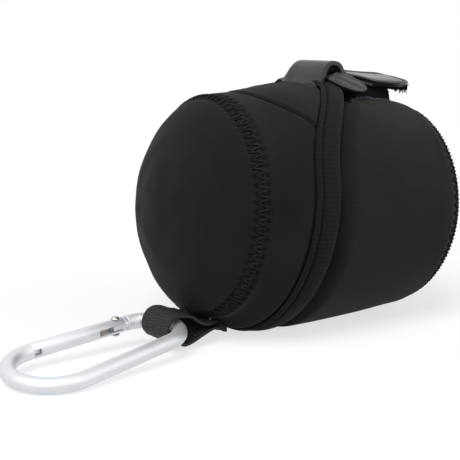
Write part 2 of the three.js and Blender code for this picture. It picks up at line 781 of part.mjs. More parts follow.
// Gate: a tube, slotted at one end for the nose and forked at the other for the hinge
function gateTube() {
  const length = gatePivotX + gateForkReach - gateNoseX;
  const middle = gateNoseX + length / 2;
  const lean = Math.atan2(limbAt(gatePivotX) - limbAt(gateNoseX), gatePivotX - gateNoseX);
  const pivotY = limbAt(gatePivotX);
  const midY = pivotY + (middle - gatePivotX) * Math.tan(lean);
  const tube = (diameter, extra) => {
    const cylinder = new THREE.CylinderGeometry(diameter / 2, diameter / 2, length + extra, rodSides);
    return solid(cylinder.rotateZ(-Math.PI / 2 + lean).translate(middle, midY, 0));
  };
  const reach = rodDiameter;
  const fork = boxSolid(gatePivotX - plateHeight, gatePivotX + reach, pivotY - reach, pivotY + reach,
    -tongueSlot / 2, tongueSlot / 2);
  const noseY = limbAt(gateNoseX);
  const slot = boxSolid(gateNoseX - reach, gateNoseX + noseTongueLength + gap, noseY - reach, noseY + reach,
    -noseSlot / 2, noseSlot / 2);
  const pocketHalf = nosePinLength / 2 + gap;
  const pocket = boxSolid(nosePinX - nosePocketLength / 2, nosePinX + nosePocketLength / 2,
    noseY - nosePinDiameter, noseY + reach, -pocketHalf, pocketHalf);
  const hole = pinSolid(rivetDiameter + 2 * gap, 2 * reach, gatePivotX, pivotY);
  return fromSolid(tube(rodDiameter, 0).subtract(tube(gateBore, overrun)).subtract(fork).subtract(slot)
    .subtract(pocket).subtract(hole));
}

// Rivet with two low round heads, as one turned piece
function gateRivet() {
  const shank = rivetDiameter / 2;
  const headRadius = rivetHeadDiameter / 2;
  const seat = rodRadius + gap;
  const crown = seat + rivetHeadHeight;
  const edge = (headRadius + shank) / 2;
  const side = [[0, crown], [edge, crown], [headRadius, seat + rivetHeadHeight / 2], [headRadius, seat], [shank, seat]];
  const profile = [...side, ...side.slice().reverse().map(([r, h]) => [r, -h])];
  const lathe = new THREE.LatheGeometry(profile.map(([r, h]) => new THREE.Vector2(r, h)), pinSides);
  return outwards(merged(lathe.rotateX(Math.PI / 2).translate(gatePivotX, limbAt(gatePivotX), 0)));
}

const nosePin = () => {
  const cylinder = new THREE.CylinderGeometry(nosePinDiameter / 2, nosePinDiameter / 2, nosePinLength, pinSides);
  return cylinder.rotateX(Math.PI / 2).translate(nosePinX, limbAt(nosePinX), 0);
};

// Leaf spring lying in the gate's bore, behind the hinge tongue
function gateSpring() {
  const end = gatePivotX - springSet;
  const middle = end - springLength / 2;
  const low = Math.sqrt((gateBore / 2 - gap) ** 2 - (springWidth / 2) ** 2);
  const box = new THREE.BoxGeometry(springLength, springThickness, springWidth);
  return box.translate(middle, limbAt(middle) - low + gap + springThickness / 2, 0);
}

// Lowest point of the ring over its eye, from its pitch and roll
const ringTurn = new THREE.Euler(ringRoll, ringPitch, ringYaw, 'ZYX');
const ringToEye = new THREE.Vector3(eyeReach, 0, 0).applyEuler(ringTurn);
function ringCentre() {
  const lowest = Math.min(...ringPath().getPoints(80).map((p) => p.applyEuler(ringTurn).z));
  const centre = eyeOffset.clone().sub(ringToEye);
  centre.z = -axisHeight + rodRadius - lowest;
  return centre;
}
const eye = ringCentre().add(ringToEye);

// Level direction of the webbing, from the carabiner's eye towards the pouch
const webbingPoint = (along, across, z) => {
  return new THREE.Vector3(
    eye.x + along * Math.cos(ringYaw) - across * Math.sin(ringYaw),
    eye.y + along * Math.sin(ringYaw) + across * Math.cos(ringYaw),
    z,
  );
};

// Height of the lid's underside, in the level frame, over a point of the surface it rests on
function lidUnderside(x, y) {
  let z = -axisHeight;
  for (let i = 0; i < 8; i += 1) {
    const px = x * Math.cos(pitch) - z * Math.sin(pitch);
    const radius = lidRadius(px, Math.PI);
    const pz = droop(px) - Math.sqrt(radius ** 2 - y ** 2);
    z = (pz - x * Math.sin(pitch)) / Math.cos(pitch);
  }
  return z;
}

function webbingSeat(along, across) {
  const flat = webbingPoint(along, across, 0);
  const clear = ease((flat.x + lidDepth - zigzagWidth / 2 - gap) / zigzagWidth);
  return lidUnderside(flat.x, flat.y) - gap - (1 - clear) * (2 * gap + threadThickness);
}

// Sewn root of the webbing: two layers flat under the lid
// How far along the webbing its root reaches: up to the foot of the rim tape, less the gap
function webbingRootEnd() {
  const bindingFootX = grooveX(Math.PI) * Math.cos(pitch) - bindingRadius * Math.sin(pitch);
  const cornerX = eye.x + (webbingWidth / 2) * Math.sin(ringYaw);
  return (bindingFootX - gap - cornerX) / Math.cos(ringYaw);
}

function webbingRoot() {
  const start = webbingLoopReach + webbingThickness + gap;
  const end = webbingRootEnd();
  const surface = (drop) => (u, v) => {
    const along = mix(start, end, u);
    const across = mix(-webbingWidth / 2, webbingWidth / 2, v);
    return webbingPoint(along, across, Math.max(webbingSeat(along, across) - drop, -axisHeight));
  };
  return slabGeometry(4, 6, surface(2 * webbingThickness), surface(0));
}

function webbingBartack() {
  const start = webbingLoopReach + webbingThickness + gap + bartackInset;
  const surface = (drop) => (u, v) => {
    const along = mix(start, start + bartackLength, u);
    const across = mix(gap - webbingWidth / 2, webbingWidth / 2 - gap, v);
    const seat = webbingSeat(along, across) - 2 * webbingThickness - gap;
    return webbingPoint(along, across, seat - drop);
  };
  return slabGeometry(1, 6, surface(stitchThickness), surface(0));
}

// Loop of the webbing: out over the rod, round it and back under
function webbingLoop() {
  const half = webbingWidth / 2;
  const edgeSweep = eyeBendRadius - Math.sqrt(eyeBendRadius ** 2 - half ** 2);
  const hole = rodRadius + rodClearance;
  const wrapX = -edgeSweep;
  const rootTop = webbingSeat(webbingLoopReach, 0);
  const rootGap = 2 * gap;
  const centreLine = [];
  const radius = hole + webbingThickness / 2;
  const wrapSteps = 10;
  const topZ = rootTop - webbingThickness / 2;
  const lowZ = topZ - webbingThickness - rootGap;
  const flyShares = [1, 0.8, 0.55, 0.28];
  flyShares.forEach((s) => centreLine.push([mix(wrapX, webbingLoopReach, s), mix(eye.z + radius, topZ, ease(s))]));
  for (let i = 0; i <= wrapSteps; i += 1) {
    const a = Math.PI / 2 + (Math.PI * i) / wrapSteps;
    centreLine.push([wrapX + radius * Math.cos(a), eye.z + radius * Math.sin(a)]);
  }
  flyShares.slice().reverse().forEach((s) => {
    centreLine.push([mix(wrapX, webbingLoopReach, s), mix(eye.z - radius, lowZ, ease(s))]);
  });
  centreLine.push([webbingLoopReach + webbingThickness / 2, (topZ + lowZ) / 2]);
  const count = centreLine.length;
  const rowShares = [-1, -0.5, 0, 0.5, 1];
  const followAt = (along) => ease(along / webbingLoopReach);
  const pointAt = (i, across, lift) => {
    const [along, z] = centreLine[i];
    const before = centreLine[(i + count - 1) % count];
    const after = centreLine[(i + 1) % count];
    const direction = new THREE.Vector2(after[0] - before[0], after[1] - before[1]).normalize();
    if (i === 0) direction.set(-1, 0);
    if (i === count - 2) direction.set(1, 0);
    const s = along + direction.y * lift;
    const seatRise = webbingSeat(along, across) - webbingSeat(along, 0);
    const rise = mix(across * Math.tan(ringRoll), seatRise, followAt(along));
    return webbingPoint(s, across, z - direction.x * lift + rise);
  };
  return ringGeometry(count, (share) => {
    const i = Math.round(share * count);
    const out = rowShares.map((r) => pointAt(i, r * half, webbingThickness / 2));
    const back = rowShares.slice().reverse().map((r) => pointAt(i, r * half, -webbingThickness / 2));
    return [...out, ...back];
  });
}

const pouch = new THREE.Group();
pouch.rotation.y = pitch;
pouch.add(
  part('body_wall', bodyWall(), neopreneCloth()),
  part('body_end_panel', bodyEndPanel(), neopreneCloth()),
  part('body_seam_thread', zigzagThread(bodySeam), blackThread()),
  part('body_mouth_binding', bodyMouthBinding(), bindingTape()),
  part('loop_patch', loopPatch(), hookTape()),
  part('loop_patch_stitch_near', loopPatchStitch(-1), blackThread()),
  part('loop_patch_stitch_far', loopPatchStitch(1), blackThread()),
  part('hinge_tape', hingeTape(), bindingTape()),
  part('lid_band', lidBand(), neopreneCloth()),
  part('lid_end_panel', lidEndPanel(), neopreneCloth()),
  part('lid_seam_thread', zigzagThread(lidSeam), blackThread()),
  part('lid_top_gusset', lidTopGusset(), neopreneCloth()),
  part('gusset_stitch_near', gussetStitch(1), blackThread()),
  part('gusset_stitch_far', gussetStitch(-1), blackThread()),
  part('lid_rim_binding', lidRimBinding(), bindingTape()),
  part('lid_rim_stitch', lidRimStitch(), blackThread()),
  part('strap_loop', strapLoop(), leatherette()),
  part('pull_tongue_root', pullTongueRoot(), leatherette()),
  part('pull_tongue', pullTongue(), leatherette()),
  part('closure_tab', closureTab(), leatherette()),
  part('tab_stitch', tabStitch(), blackThread()),
  part('hook_strip', hookStrip(), hookTape()),
);

const carabiner = new THREE.Group();
carabiner.rotation.copy(ringTurn);
carabiner.position.copy(ringCentre());
carabiner.add(
  part('carabiner_frame', carabinerFrame(), anodisedAluminium()),
  part('gate_rivet', gateRivet(), steelPin()),
  part('nose_pin', nosePin(), steelPin()),
  part('gate_tube', gateTube(), anodisedAluminium()),
  part('gate_spring', gateSpring(), steelPin()),
);

const lensPouch = new THREE.Group();
lensPouch.add(
  pouch,
  carabiner,
  part('webbing_loop', webbingLoop(), polyesterWebbing()),
  part('webbing_root', webbingRoot(), polyesterWebbing()),
  part('webbing_bartack', webbingBartack(), blackThread()),
);

// The origin is on the surface it rests on, under the middle of the whole object
lensPouch.updateMatrixWorld(true);
const bounds = new THREE.Box3().setFromObject(lensPouch, true);
const middle = bounds.getCenter(new THREE.Vector3());
lensPouch.position.set(-middle.x, -middle.y, -bounds.min.z);

export default lensPouch;
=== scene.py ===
"""Neoprene lens pouch with a flip lid, a leatherette closing tab and a carabiner on a webbing loop.

Sizes are in millimetres until a point is placed; the pouch is a cone that lies on its lowest line.
"""

import math
import random

import bpy
from mathutils import Euler, Matrix, Vector


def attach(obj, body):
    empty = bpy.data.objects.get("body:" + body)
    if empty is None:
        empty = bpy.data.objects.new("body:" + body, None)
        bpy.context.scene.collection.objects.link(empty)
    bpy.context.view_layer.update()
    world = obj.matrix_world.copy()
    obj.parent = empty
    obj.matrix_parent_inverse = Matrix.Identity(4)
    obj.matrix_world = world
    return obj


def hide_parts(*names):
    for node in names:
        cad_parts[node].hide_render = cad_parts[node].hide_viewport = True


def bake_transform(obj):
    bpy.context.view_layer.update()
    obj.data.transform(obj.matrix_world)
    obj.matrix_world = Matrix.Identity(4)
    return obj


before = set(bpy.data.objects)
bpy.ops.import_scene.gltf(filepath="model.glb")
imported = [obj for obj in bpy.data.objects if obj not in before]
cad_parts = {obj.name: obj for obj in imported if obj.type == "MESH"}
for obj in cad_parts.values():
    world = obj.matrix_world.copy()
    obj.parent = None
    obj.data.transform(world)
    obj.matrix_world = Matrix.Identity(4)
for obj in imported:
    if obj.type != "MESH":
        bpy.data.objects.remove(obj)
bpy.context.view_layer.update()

MM = 0.001
DEGREE = math.pi / 180

# Place of the pouch's own axis in the row frame, and its pitch
BODY_LENGTH = 73.0
CONE_MOUTH_RADIUS = 49.9
END_SEAM_RADIUS = 43.0
PITCH = math.atan((CONE_MOUTH_RADIUS - END_SEAM_RADIUS) / BODY_LENGTH)
REST_FLAT = 0.7
AXIS_HEIGHT = CONE_MOUTH_RADIUS * math.cos(PITCH) - REST_FLAT
SHIFT_X = 9.7935

# Cloth and tape sizes
NEOPRENE = 3.0
END_RISE = 14.2
SEAM_DIP = 1.4
SEAM_DIP_REACH = 2.6
LID_DEPTH = 18.5
LID_SEAM_RADIUS = 42.0
LID_RISE = 20.0
LID_DROOP = 2.3
RIM_RADIUS = 47.6
VISOR_HALF_ANGLE = 72 * DEGREE
VISOR_DROP = 0.7
MOUTH_TAPER = 3.0
END_SHRINK = 0.8
END_LIFT = 1.4
BINDING_WIDTH = 10.2
BINDING_RADIUS = 49.05
BINDING_DEPTH = 4.6
BODY_TUCK = 0.5
SHOULDER = 8.0
GAP = 0.3
ZIGZAG_WIDTH = 5.4
ZIGZAGS = 82
THREAD_RADIUS = 0.33
LID_CLOTH_THICKNESS = 2.2
ROUND_COLUMNS = 6 * ZIGZAGS
ROUND_START = math.pi

# How the two mouths run round the pouch: their lean, place at the side and reach of the visor at the top
MOUTH_LEAN = 1.5
RIM_START, RIM_REACH = -1.0, 24.0
MOUTH_START, MOUTH_REACH = -3.8, 14.0

# Where the body begins to shrink and its underside to lift, and how much soft cloth swells
SHRINK_START, LIFT_START = 12.0, 24.0
SWELL = 0.22

# Leatherette strap, tab and tongue
STRAP_WIDTH = 22.0
STRAP_THICKNESS = 1.6
ARCH_START, ARCH_END = 23.3, 34.4
RIDGE_HEIGHT = 55.7
TAB_START = 36.3
TAB_HEIGHT = 50.0
TAB_REACH = 38.3
TAB_CURL = 1.2
TAB_ROLL = math.tan(9.5 * DEGREE)

# The lid's cloth covers the strap's near half up to an edge and lets go of it beyond. Past the start of the
# dent the strap presses the cloth down all across
COVER_EDGE, COVER_REACH = 0.5, 5.0
DENT_START, DENT_REACH = 16.0, 6.0

# Carabiner, in the plane of its ring
ROD_RADIUS = 2.8
NOSE_BEND, EYE_BEND, BEND_SPACING = 15.0, 12.0, 39.0
RING_TURN = Euler((5.3 * DEGREE, -4.9 * DEGREE, 12.5 * DEGREE), "XYZ")
RING_CENTRE = Vector((-68.841, -18.793, -42.630))
RING_YAW = 12.5 * DEGREE
EYE_REACH = BEND_SPACING / 2 + EYE_BEND
PIVOT_X = EYE_REACH - 15.5
NOSE_X = EYE_REACH - 47.0
NOSE_CUT = NOSE_X - 2.4


def mix(a, b, share):
    return a + (b - a) * share


def ease(share):
    t = min(1.0, max(0.0, share))
    return t * t * (3 - 2 * t)


def pouch_point(x, y, z):
    """A point of the pouch's own frame, put into the row frame in metres."""
    c, s = math.cos(PITCH), math.sin(PITCH)
    height = max(-x * s + z * c, -AXIS_HEIGHT)
    return Vector((x * c + z * s + SHIFT_X, y, height + AXIS_HEIGHT)) * MM


def level_point(x, y, z):
    """A point of the level frame that shares the pouch's origin, put into the row frame in metres."""
    return Vector((x + SHIFT_X, y, z + AXIS_HEIGHT)) * MM


def around(x, radius, angle, drop=0.0):
    """A point of the pouch by its place along the axis, radius and angle from the top."""
    return pouch_point(x, -radius * math.sin(angle), radius * math.cos(angle) + drop)


def visor(angle):
    """Share of the visor at an angle: 1 at the top, 0 from its half angle on."""
    turned = abs(math.atan2(math.sin(angle), math.cos(angle)))
    return (1 + math.cos(math.pi * turned / VISOR_HALF_ANGLE)) / 2 if turned < VISOR_HALF_ANGLE else 0.0


def groove_x(angle):
    """Place along the pouch of the groove where the lid's binding meets the lid's cloth."""
    return MOUTH_LEAN * math.cos(angle) + RIM_START + RIM_REACH * visor(angle)


def tape_radius(angle):
    return BINDING_RADIUS - VISOR_DROP * visor(angle)


def mouth_x(angle):
    """Place along the pouch of the body's mouth."""
    return MOUTH_LEAN * math.cos(angle) + MOUTH_START + MOUTH_REACH * visor(angle)


def seam_sink(distance):
    return SEAM_DIP * math.exp(-((distance / SEAM_DIP_REACH) ** 2))


def body_radius(x, angle):
    cone = mix(CONE_MOUTH_RADIUS, END_SEAM_RADIUS, x / BODY_LENGTH) - seam_sink(BODY_LENGTH - x)
    cone -= END_SHRINK * ease((x - SHRINK_START) / (BODY_LENGTH - SHRINK_START))
    cone -= END_LIFT * ease((x - LIFT_START) / (BODY_LENGTH - LIFT_START)) * ease(-math.cos(angle))
    tucked = tape_radius(angle) - BINDING_DEPTH - BODY_TUCK
    edge = groove_x(angle) + BINDING_WIDTH
    if x < edge:
        return tucked - MOUTH_TAPER * (edge - x) / (edge - mouth_x(angle))
    return mix(tucked, cone, ease((x - edge) / SHOULDER))


def lid_radius(x, angle):
    share = (x + LID_DEPTH) / (groove_x(angle) + LID_DEPTH)
    rim = RIM_RADIUS - VISOR_DROP * visor(angle)
    return mix(LID_SEAM_RADIUS, rim, ease((share - 0.3) / 0.7)) - seam_sink(x + LID_DEPTH) / 2


def droop(x):
    """How far the lid sags towards its end."""
    return -LID_DROOP * (1 - ease((x + LID_DEPTH) / (LID_DEPTH + 4)))


def pucker(distance, angle, depth=1.15, reach=2.8):
    """Cloth drawn in where each zigzag stitch bites, on both sides of a seam."""
    bite = 0.5 + 0.5 * math.cos(ZIGZAGS * angle + (math.pi if distance > 0 else 0))
    beside = math.exp(-(((abs(distance) - ZIGZAG_WIDTH / 2) / 0.85) ** 2))
    return depth * bite * beside + 0.4 * math.exp(-((distance / reach) ** 2))


def unevenness(x, angle, amount):
    """Slow swells of soft cloth, the same each run."""
    swell = math.sin(2 * angle + 0.06 * x) + 0.6 * math.sin(5 * angle - 0.11 * x + 1.3)
    return amount * (swell + 0.5 * math.sin(3 * angle + 0.17 * x + 4.1))


# Making pieces

def deselect():
    if bpy.context.object and bpy.context.object.mode != "OBJECT":
        bpy.ops.object.mode_set(mode="OBJECT")
    bpy.ops.object.select_all(action="DESELECT")


def take(piece):
    deselect()
    piece.select_set(True)
    bpy.context.view_layer.objects.active = piece
    return piece


def named(name):
    piece = bpy.context.object
    piece.name = piece.data.name = name
    return piece


def mend(piece, weld=0.0):
    """Merges points that lie closer than the weld, in metres, and turns the faces outwards."""
    take(piece)
    bpy.ops.object.mode_set(mode="EDIT")
    bpy.ops.mesh.select_all(action="SELECT")
    if weld:
        bpy.ops.mesh.remove_doubles(threshold=weld)
    bpy.ops.mesh.normals_make_consistent(inside=False)
    bpy.ops.object.mode_set(mode="OBJECT")
    return piece


def added(name, data):
    """A new object for a mesh, curve, lamp or camera."""
    piece = bpy.data.objects.new(name, data)
    bpy.context.scene.collection.objects.link(piece)
    return piece


def cloth_grid(name, columns, rows, place, cloth, closed=False):
    """A grid laid over a surface: its UV map runs in metres of cloth, so weaves keep their real size."""
    deselect()
    bpy.ops.mesh.primitive_grid_add(x_subdivisions=columns, y_subdivisions=rows, size=2)
    piece = named(name)
    for vertex in piece.data.vertices:
        vertex.co = place((vertex.co.x + 1) / 2, (vertex.co.y + 1) / 2)
    for corner in piece.data.uv_layers[0].data:
        corner.uv = (corner.uv[0] * cloth[0] * MM, corner.uv[1] * cloth[1] * MM)
    return mend(piece, 1e-6 if closed else 0.0)


def modify(piece, kind, **settings):
    take(piece)
    modifier = piece.modifiers.new(kind.title(), kind)
    for key, value in settings.items():
        setattr(modifier, key, value)
    bpy.ops.object.modifier_apply(modifier=modifier.name)
    return piece


def smooth(piece, angle=50):
    take(piece)
    bpy.ops.object.shade_smooth_by_angle(angle=angle * DEGREE)
    return piece


def thicken(piece, thickness, offset=-1.0, rim_material=0):
    return modify(piece, "SOLIDIFY", thickness=thickness * MM, offset=offset,
                  material_offset_rim=rim_material)


def soften(piece, width, segments, sharper_than=0, **settings):
    """Rounds the edges that turn by more than an angle in degrees, or all of them."""
    if sharper_than:
        settings.update(limit_method="ANGLE", angle_limit=sharper_than * DEGREE)
    return modify(piece, "BEVEL", width=width * MM, segments=segments, **settings)


def dress(piece, body, slot, *materials, nodes=(), angle=50):
    """Finishes a piece: smooth faces, its materials, its body and what it stands for; the slot is not used.
    """
    smooth(piece, angle)
    for material in materials:
        piece.data.materials.append(material)
    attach(piece, body)
    if nodes:
        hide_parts(*nodes)
    return piece


def thread_line(name, points, radius, closed=False, sides=2):
    """A thread as a round bead along a line of points, made a mesh."""
    curve = bpy.data.curves.new(name, "CURVE")
    curve.dimensions = "3D"
    curve.bevel_depth = radius * MM
    curve.bevel_resolution = sides
    curve.use_fill_caps = not closed
    spline = curve.splines.new("POLY")
    spline.points.add(len(points) - 1)
    for point, place in zip(spline.points, points):
        point.co = (place[0], place[1], max(place[2], radius * MM), 1)
    spline.use_cyclic_u = closed
    take(added(name, curve))
    bpy.ops.object.convert(target="MESH")
    return named(name)


def joined(name, pieces):
    deselect()
    for piece in pieces:
        piece.select_set(True)
    bpy.context.view_layer.objects.active = pieces[0]
    bpy.ops.object.join()
    return named(name)


# Materials
# Scales of noise and cells are grains to the metre, so a scale of 2000 makes grains of half a millimetre

def colour(value):
    """Linear colour of an sRGB hex value."""
    shares = [((value >> shift) & 255) / 255 for shift in (16, 8, 0)]
    return tuple(s / 12.92 if s <= 0.04045 else ((s + 0.055) / 1.055) ** 2.4 for s in shares) + (1.0,)


def put(material, kind, inputs, **settings):
    """Adds a node with settings and inputs: values, sockets or nodes, which stand for their first output."""
    tree = material.node_tree
    node = tree.nodes.new(kind)
    for key, value in settings.items():
        setattr(node, key, value)
    for key, value in inputs.items():
        if isinstance(value, bpy.types.Node):
            value = value.outputs[0]
        if isinstance(value, bpy.types.NodeSocket):
            tree.links.new(value, node.inputs[key])
        else:
            node.inputs[key].default_value = value
    return node


def new_material(name):
    material = bpy.data.materials.new(name)
    material.use_nodes = True
    material.node_tree.nodes.clear()
    return material


def finished(material, pattern, low, high, **inputs):
    """Ends a material in one surface shader, whose colour runs between two tones by a pattern."""
    base = put(material, "ShaderNodeMix", {"Factor": pattern, "A": colour(low), "B": colour(high)},
               data_type="RGBA")
    sockets = {key.replace("_", " "): value for key, value in inputs.items()}
    shader = put(material, "ShaderNodeBsdfPrincipled", {"Base Color": base.outputs["Result"], **sockets})
    put(material, "ShaderNodeOutputMaterial", {"Surface": shader})
    return material


# Spacing in metres of a wave texture's bands at scale 1, and how much coarser fine ribs are drawn to show
WAVE_SPACING = 0.314
COARSER = 2


def jersey_neoprene(name, ribs):
    # Knitted polyester jersey laminated on neoprene foam: matt near-black with straight wales 0.85 mm apart,
    # drawn at 1.7 mm so that they show
    material = new_material(name)
    at = put(material, "ShaderNodeTexCoord", {}).outputs
    wale = put(material, "ShaderNodeTexWave",
               {"Vector": at["UV"], "Scale": WAVE_SPACING / (COARSER * 0.85 * MM), "Distortion": 0.6,
                "Detail": 1.0, "Detail Scale": 2.0}, wave_type="BANDS", bands_direction="X")
    loops = put(material, "ShaderNodeTexNoise", {"Vector": at["UV"], "Scale": 2200.0, "Detail": 2.0})
    patches = put(material, "ShaderNodeTexNoise", {"Vector": at["Object"], "Scale": 45.0, "Detail": 3.0})
    grain = put(material, "ShaderNodeMath", {0: wale.outputs["Fac"], 1: loops}, operation="MULTIPLY")
    tone = put(material, "ShaderNodeMath", {0: grain, 1: ribs, 2: patches}, operation="MULTIPLY_ADD")
    bump = put(material, "ShaderNodeBump", {"Strength": 0.7 * ribs, "Distance": 0.18 * MM, "Height": grain})
    return finished(material, tone, 0x121312, 0x232421, Roughness=0.95, Sheen_Weight=0.06,
                    Sheen_Roughness=0.5, Specular_IOR_Level=0.12, Normal=bump)


def ribbed_binding():
    # Folded polyester elastic tape: dull, with cross ribs 0.8 mm apart, drawn at 1.6 mm so that they show
    material = new_material("ribbed_binding_tape")
    at = put(material, "ShaderNodeTexCoord", {}).outputs
    rib = put(material, "ShaderNodeTexWave",
              {"Vector": at["UV"], "Scale": WAVE_SPACING / (COARSER * 0.8 * MM), "Distortion": 0.3},
              wave_type="BANDS", bands_direction="X")
    fibre = put(material, "ShaderNodeTexNoise", {"Vector": at["UV"], "Scale": 1500.0, "Detail": 2.0})
    tone = put(material, "ShaderNodeMath", {0: rib.outputs["Fac"], 1: fibre}, operation="MULTIPLY")
    bump = put(material, "ShaderNodeBump", {"Strength": 0.12, "Distance": 0.2 * MM, "Height": tone})
    return finished(material, tone, 0x181819, 0x212124, Roughness=0.9, Sheen_Weight=0.04,
                    Sheen_Roughness=0.4, Specular_IOR_Level=0.12, Normal=bump)


def twisted_thread(name, low, high):
    # Bonded polyester sewing thread: dull, with a fine twist, and paler in slow patches, which are partly
    # fraying and partly painted glints of light
    material = new_material(name)
    at = put(material, "ShaderNodeTexCoord", {}).outputs["Object"]
    twist = put(material, "ShaderNodeTexNoise", {"Vector": at, "Scale": 900.0, "Detail": 2.0})
    # Painted glints: these slow patches make stretches of the thread paler, as if they caught the light
    glints_and_fraying = put(material, "ShaderNodeTexNoise", {"Vector": at, "Scale": 260.0, "Detail": 1.0})
    tone = put(material, "ShaderNodeMath", {0: twist, 1: glints_and_fraying}, operation="MULTIPLY")
    bump = put(material, "ShaderNodeBump", {"Strength": 0.5, "Distance": 0.08 * MM, "Height": twist})
    return finished(material, tone, low, high, Roughness=0.75, Specular_IOR_Level=0.12, Normal=bump)


def coated_leatherette(name, low, high, roughness):
    # Polyurethane-coated leatherette: satin face with a soft pressed grain about 0.7 mm across
    material = new_material(name)
    at = put(material, "ShaderNodeTexCoord", {}).outputs["Object"]
    grain = put(material, "ShaderNodeTexVoronoi", {"Vector": at, "Scale": 1400.0}, feature="SMOOTH_F1")
    soil = put(material, "ShaderNodeTexNoise", {"Vector": at, "Scale": 160.0, "Detail": 4.0})
    rough = put(material, "ShaderNodeMapRange",
                {"Value": soil, "To Min": roughness - 0.05, "To Max": roughness + 0.08})
    bump = put(material, "ShaderNodeBump", {"Strength": 0.18, "Distance": 0.1 * MM, "Height": grain})
    return finished(material, soil, low, high, Roughness=rough, Normal=bump)


def creased_leatherette():
    # The tongue's leatherette: dulled by fingers, with long creases 3.2 mm apart and a pale rubbed end
    material = new_material("creased_leatherette")
    at = put(material, "ShaderNodeTexCoord", {}).outputs["UV"]
    crease = put(material, "ShaderNodeTexWave",
                 {"Vector": at, "Scale": WAVE_SPACING / (3.2 * MM), "Distortion": 4.0, "Detail": 3.0,
                  "Detail Scale": 1.5}, wave_type="BANDS", bands_direction="Y").outputs["Fac"]
    along = put(material, "ShaderNodeSeparateXYZ", {"Vector": at}).outputs["X"]
    rubbed = put(material, "ShaderNodeMapRange",
                 {"Value": along, "From Min": 3.5 * MM, "From Max": 0.0, "To Max": 0.45})
    sharp = put(material, "ShaderNodeMath", {0: crease, 1: 4.0}, operation="POWER")
    marks = put(material, "ShaderNodeMath", {0: sharp, 1: 0.4}, operation="MULTIPLY")
    tone = put(material, "ShaderNodeMath", {0: marks, 1: rubbed}, operation="MAXIMUM")
    bump = put(material, "ShaderNodeBump", {"Strength": 0.6, "Distance": 0.3 * MM, "Height": crease})
    return finished(material, tone, 0x1E1E20, 0x606064, Roughness=0.5, Normal=bump)


def cut_leatherette_edge():
    # Knife-cut edge of the leatherette: pale fibres of the backing show beside the black coat
    material = new_material("cut_leatherette_edge")
    at = put(material, "ShaderNodeTexCoord", {}).outputs["Object"]
    fibre = put(material, "ShaderNodeTexNoise", {"Vector": at, "Scale": 1100.0, "Detail": 1.0})
    glint = put(material, "ShaderNodeMapRange", {"Value": fibre, "From Min": 0.5, "From Max": 0.66})
    bump = put(material, "ShaderNodeBump", {"Strength": 0.6, "Distance": 0.2 * MM, "Height": fibre})
    return finished(material, glint, 0x161618, 0xC4C2C8, Roughness=0.85, Normal=bump)


def pile_tape(name, low, high, scale):
    # Nylon hook and loop tape: a thicket of fine black loops or hooks that swallows light. The inked edge of
    # the leatherette has the same short dull fibres; the same near-black matt is painted shade on the
    # strap's lying part
    material = new_material(name)
    at = put(material, "ShaderNodeTexCoord", {}).outputs["Object"]
    loops = put(material, "ShaderNodeTexVoronoi", {"Vector": at, "Scale": scale, "Randomness": 1.0})
    fuzz = put(material, "ShaderNodeTexNoise", {"Vector": at, "Scale": 2 * scale, "Detail": 3.0})
    tone = put(material, "ShaderNodeMath", {0: loops, 1: fuzz}, operation="MULTIPLY")
    bump = put(material, "ShaderNodeBump", {"Strength": 1.0, "Distance": 0.6 * MM, "Height": tone})
    return finished(material, tone, low, high, Roughness=0.95, Specular_IOR_Level=0.1, Normal=bump)


def woven_webbing():
    # Woven polypropylene webbing: silky raised cross ribs 1.3 mm apart, in lengthwise columns 3.4 mm wide
    material = new_material("woven_webbing")
    at = put(material, "ShaderNodeTexCoord", {}).outputs
    split = put(material, "ShaderNodeSeparateXYZ", {"Vector": at["UV"]}).outputs
    along = put(material, "ShaderNodeMath", {0: split["X"], 1: math.pi / (1.3 * MM)}, operation="MULTIPLY")
    across = put(material, "ShaderNodeMath", {0: split["Y"], 1: math.pi / (3.4 * MM)}, operation="MULTIPLY")
    swing = put(material, "ShaderNodeMath", {0: across}, operation="SINE")
    column = put(material, "ShaderNodeMath", {0: swing}, operation="ABSOLUTE")
    crown = put(material, "ShaderNodeMath", {0: column, 1: 0.35}, operation="POWER")
    other = put(material, "ShaderNodeMath", {0: swing, 1: 0.0}, operation="GREATER_THAN")
    shifted = put(material, "ShaderNodeMath", {0: other, 1: math.pi / 2, 2: along}, operation="MULTIPLY_ADD")
    wave = put(material, "ShaderNodeMath", {0: shifted}, operation="SINE")
    rib = put(material, "ShaderNodeMath", {0: wave}, operation="ABSOLUTE")
    height = put(material, "ShaderNodeMath", {0: rib, 1: crown}, operation="MULTIPLY")
    # Painted shade and highlight: the colour is paler on the rib crests and near black in the valleys
    # between ribs
    painted_rib_shading = put(material, "ShaderNodeMath", {0: height, 1: 3.0}, operation="POWER")
    fibre = put(material, "ShaderNodeTexNoise", {"Vector": at["Object"], "Scale": 2500.0, "Detail": 2.0})
    tone = put(material, "ShaderNodeMath", {0: painted_rib_shading, 1: fibre}, operation="MULTIPLY")
    bump = put(material, "ShaderNodeBump", {"Strength": 0.9, "Distance": 0.4 * MM, "Height": height})
    return finished(material, tone, 0x040405, 0x36363B, Roughness=0.62, Normal=bump)


def anodised_aluminium():
    # Clear-anodised aluminium rod, tumbled before anodising: pale satin with a faint fine grain
    material = new_material("anodised_aluminium")
    at = put(material, "ShaderNodeTexCoord", {}).outputs["Object"]
    grain = put(material, "ShaderNodeTexNoise", {"Vector": at, "Scale": 2400.0, "Detail": 2.0})
    handled = put(material, "ShaderNodeTexNoise", {"Vector": at, "Scale": 120.0, "Detail": 3.0})
    rough = put(material, "ShaderNodeMapRange", {"Value": handled, "To Min": 0.46, "To Max": 0.56})
    bump = put(material, "ShaderNodeBump", {"Strength": 0.1, "Distance": 0.05 * MM, "Height": grain})
    return finished(material, handled, 0xDBDEE1, 0xEAECEF, Metallic=0.8, Roughness=rough, Normal=bump)


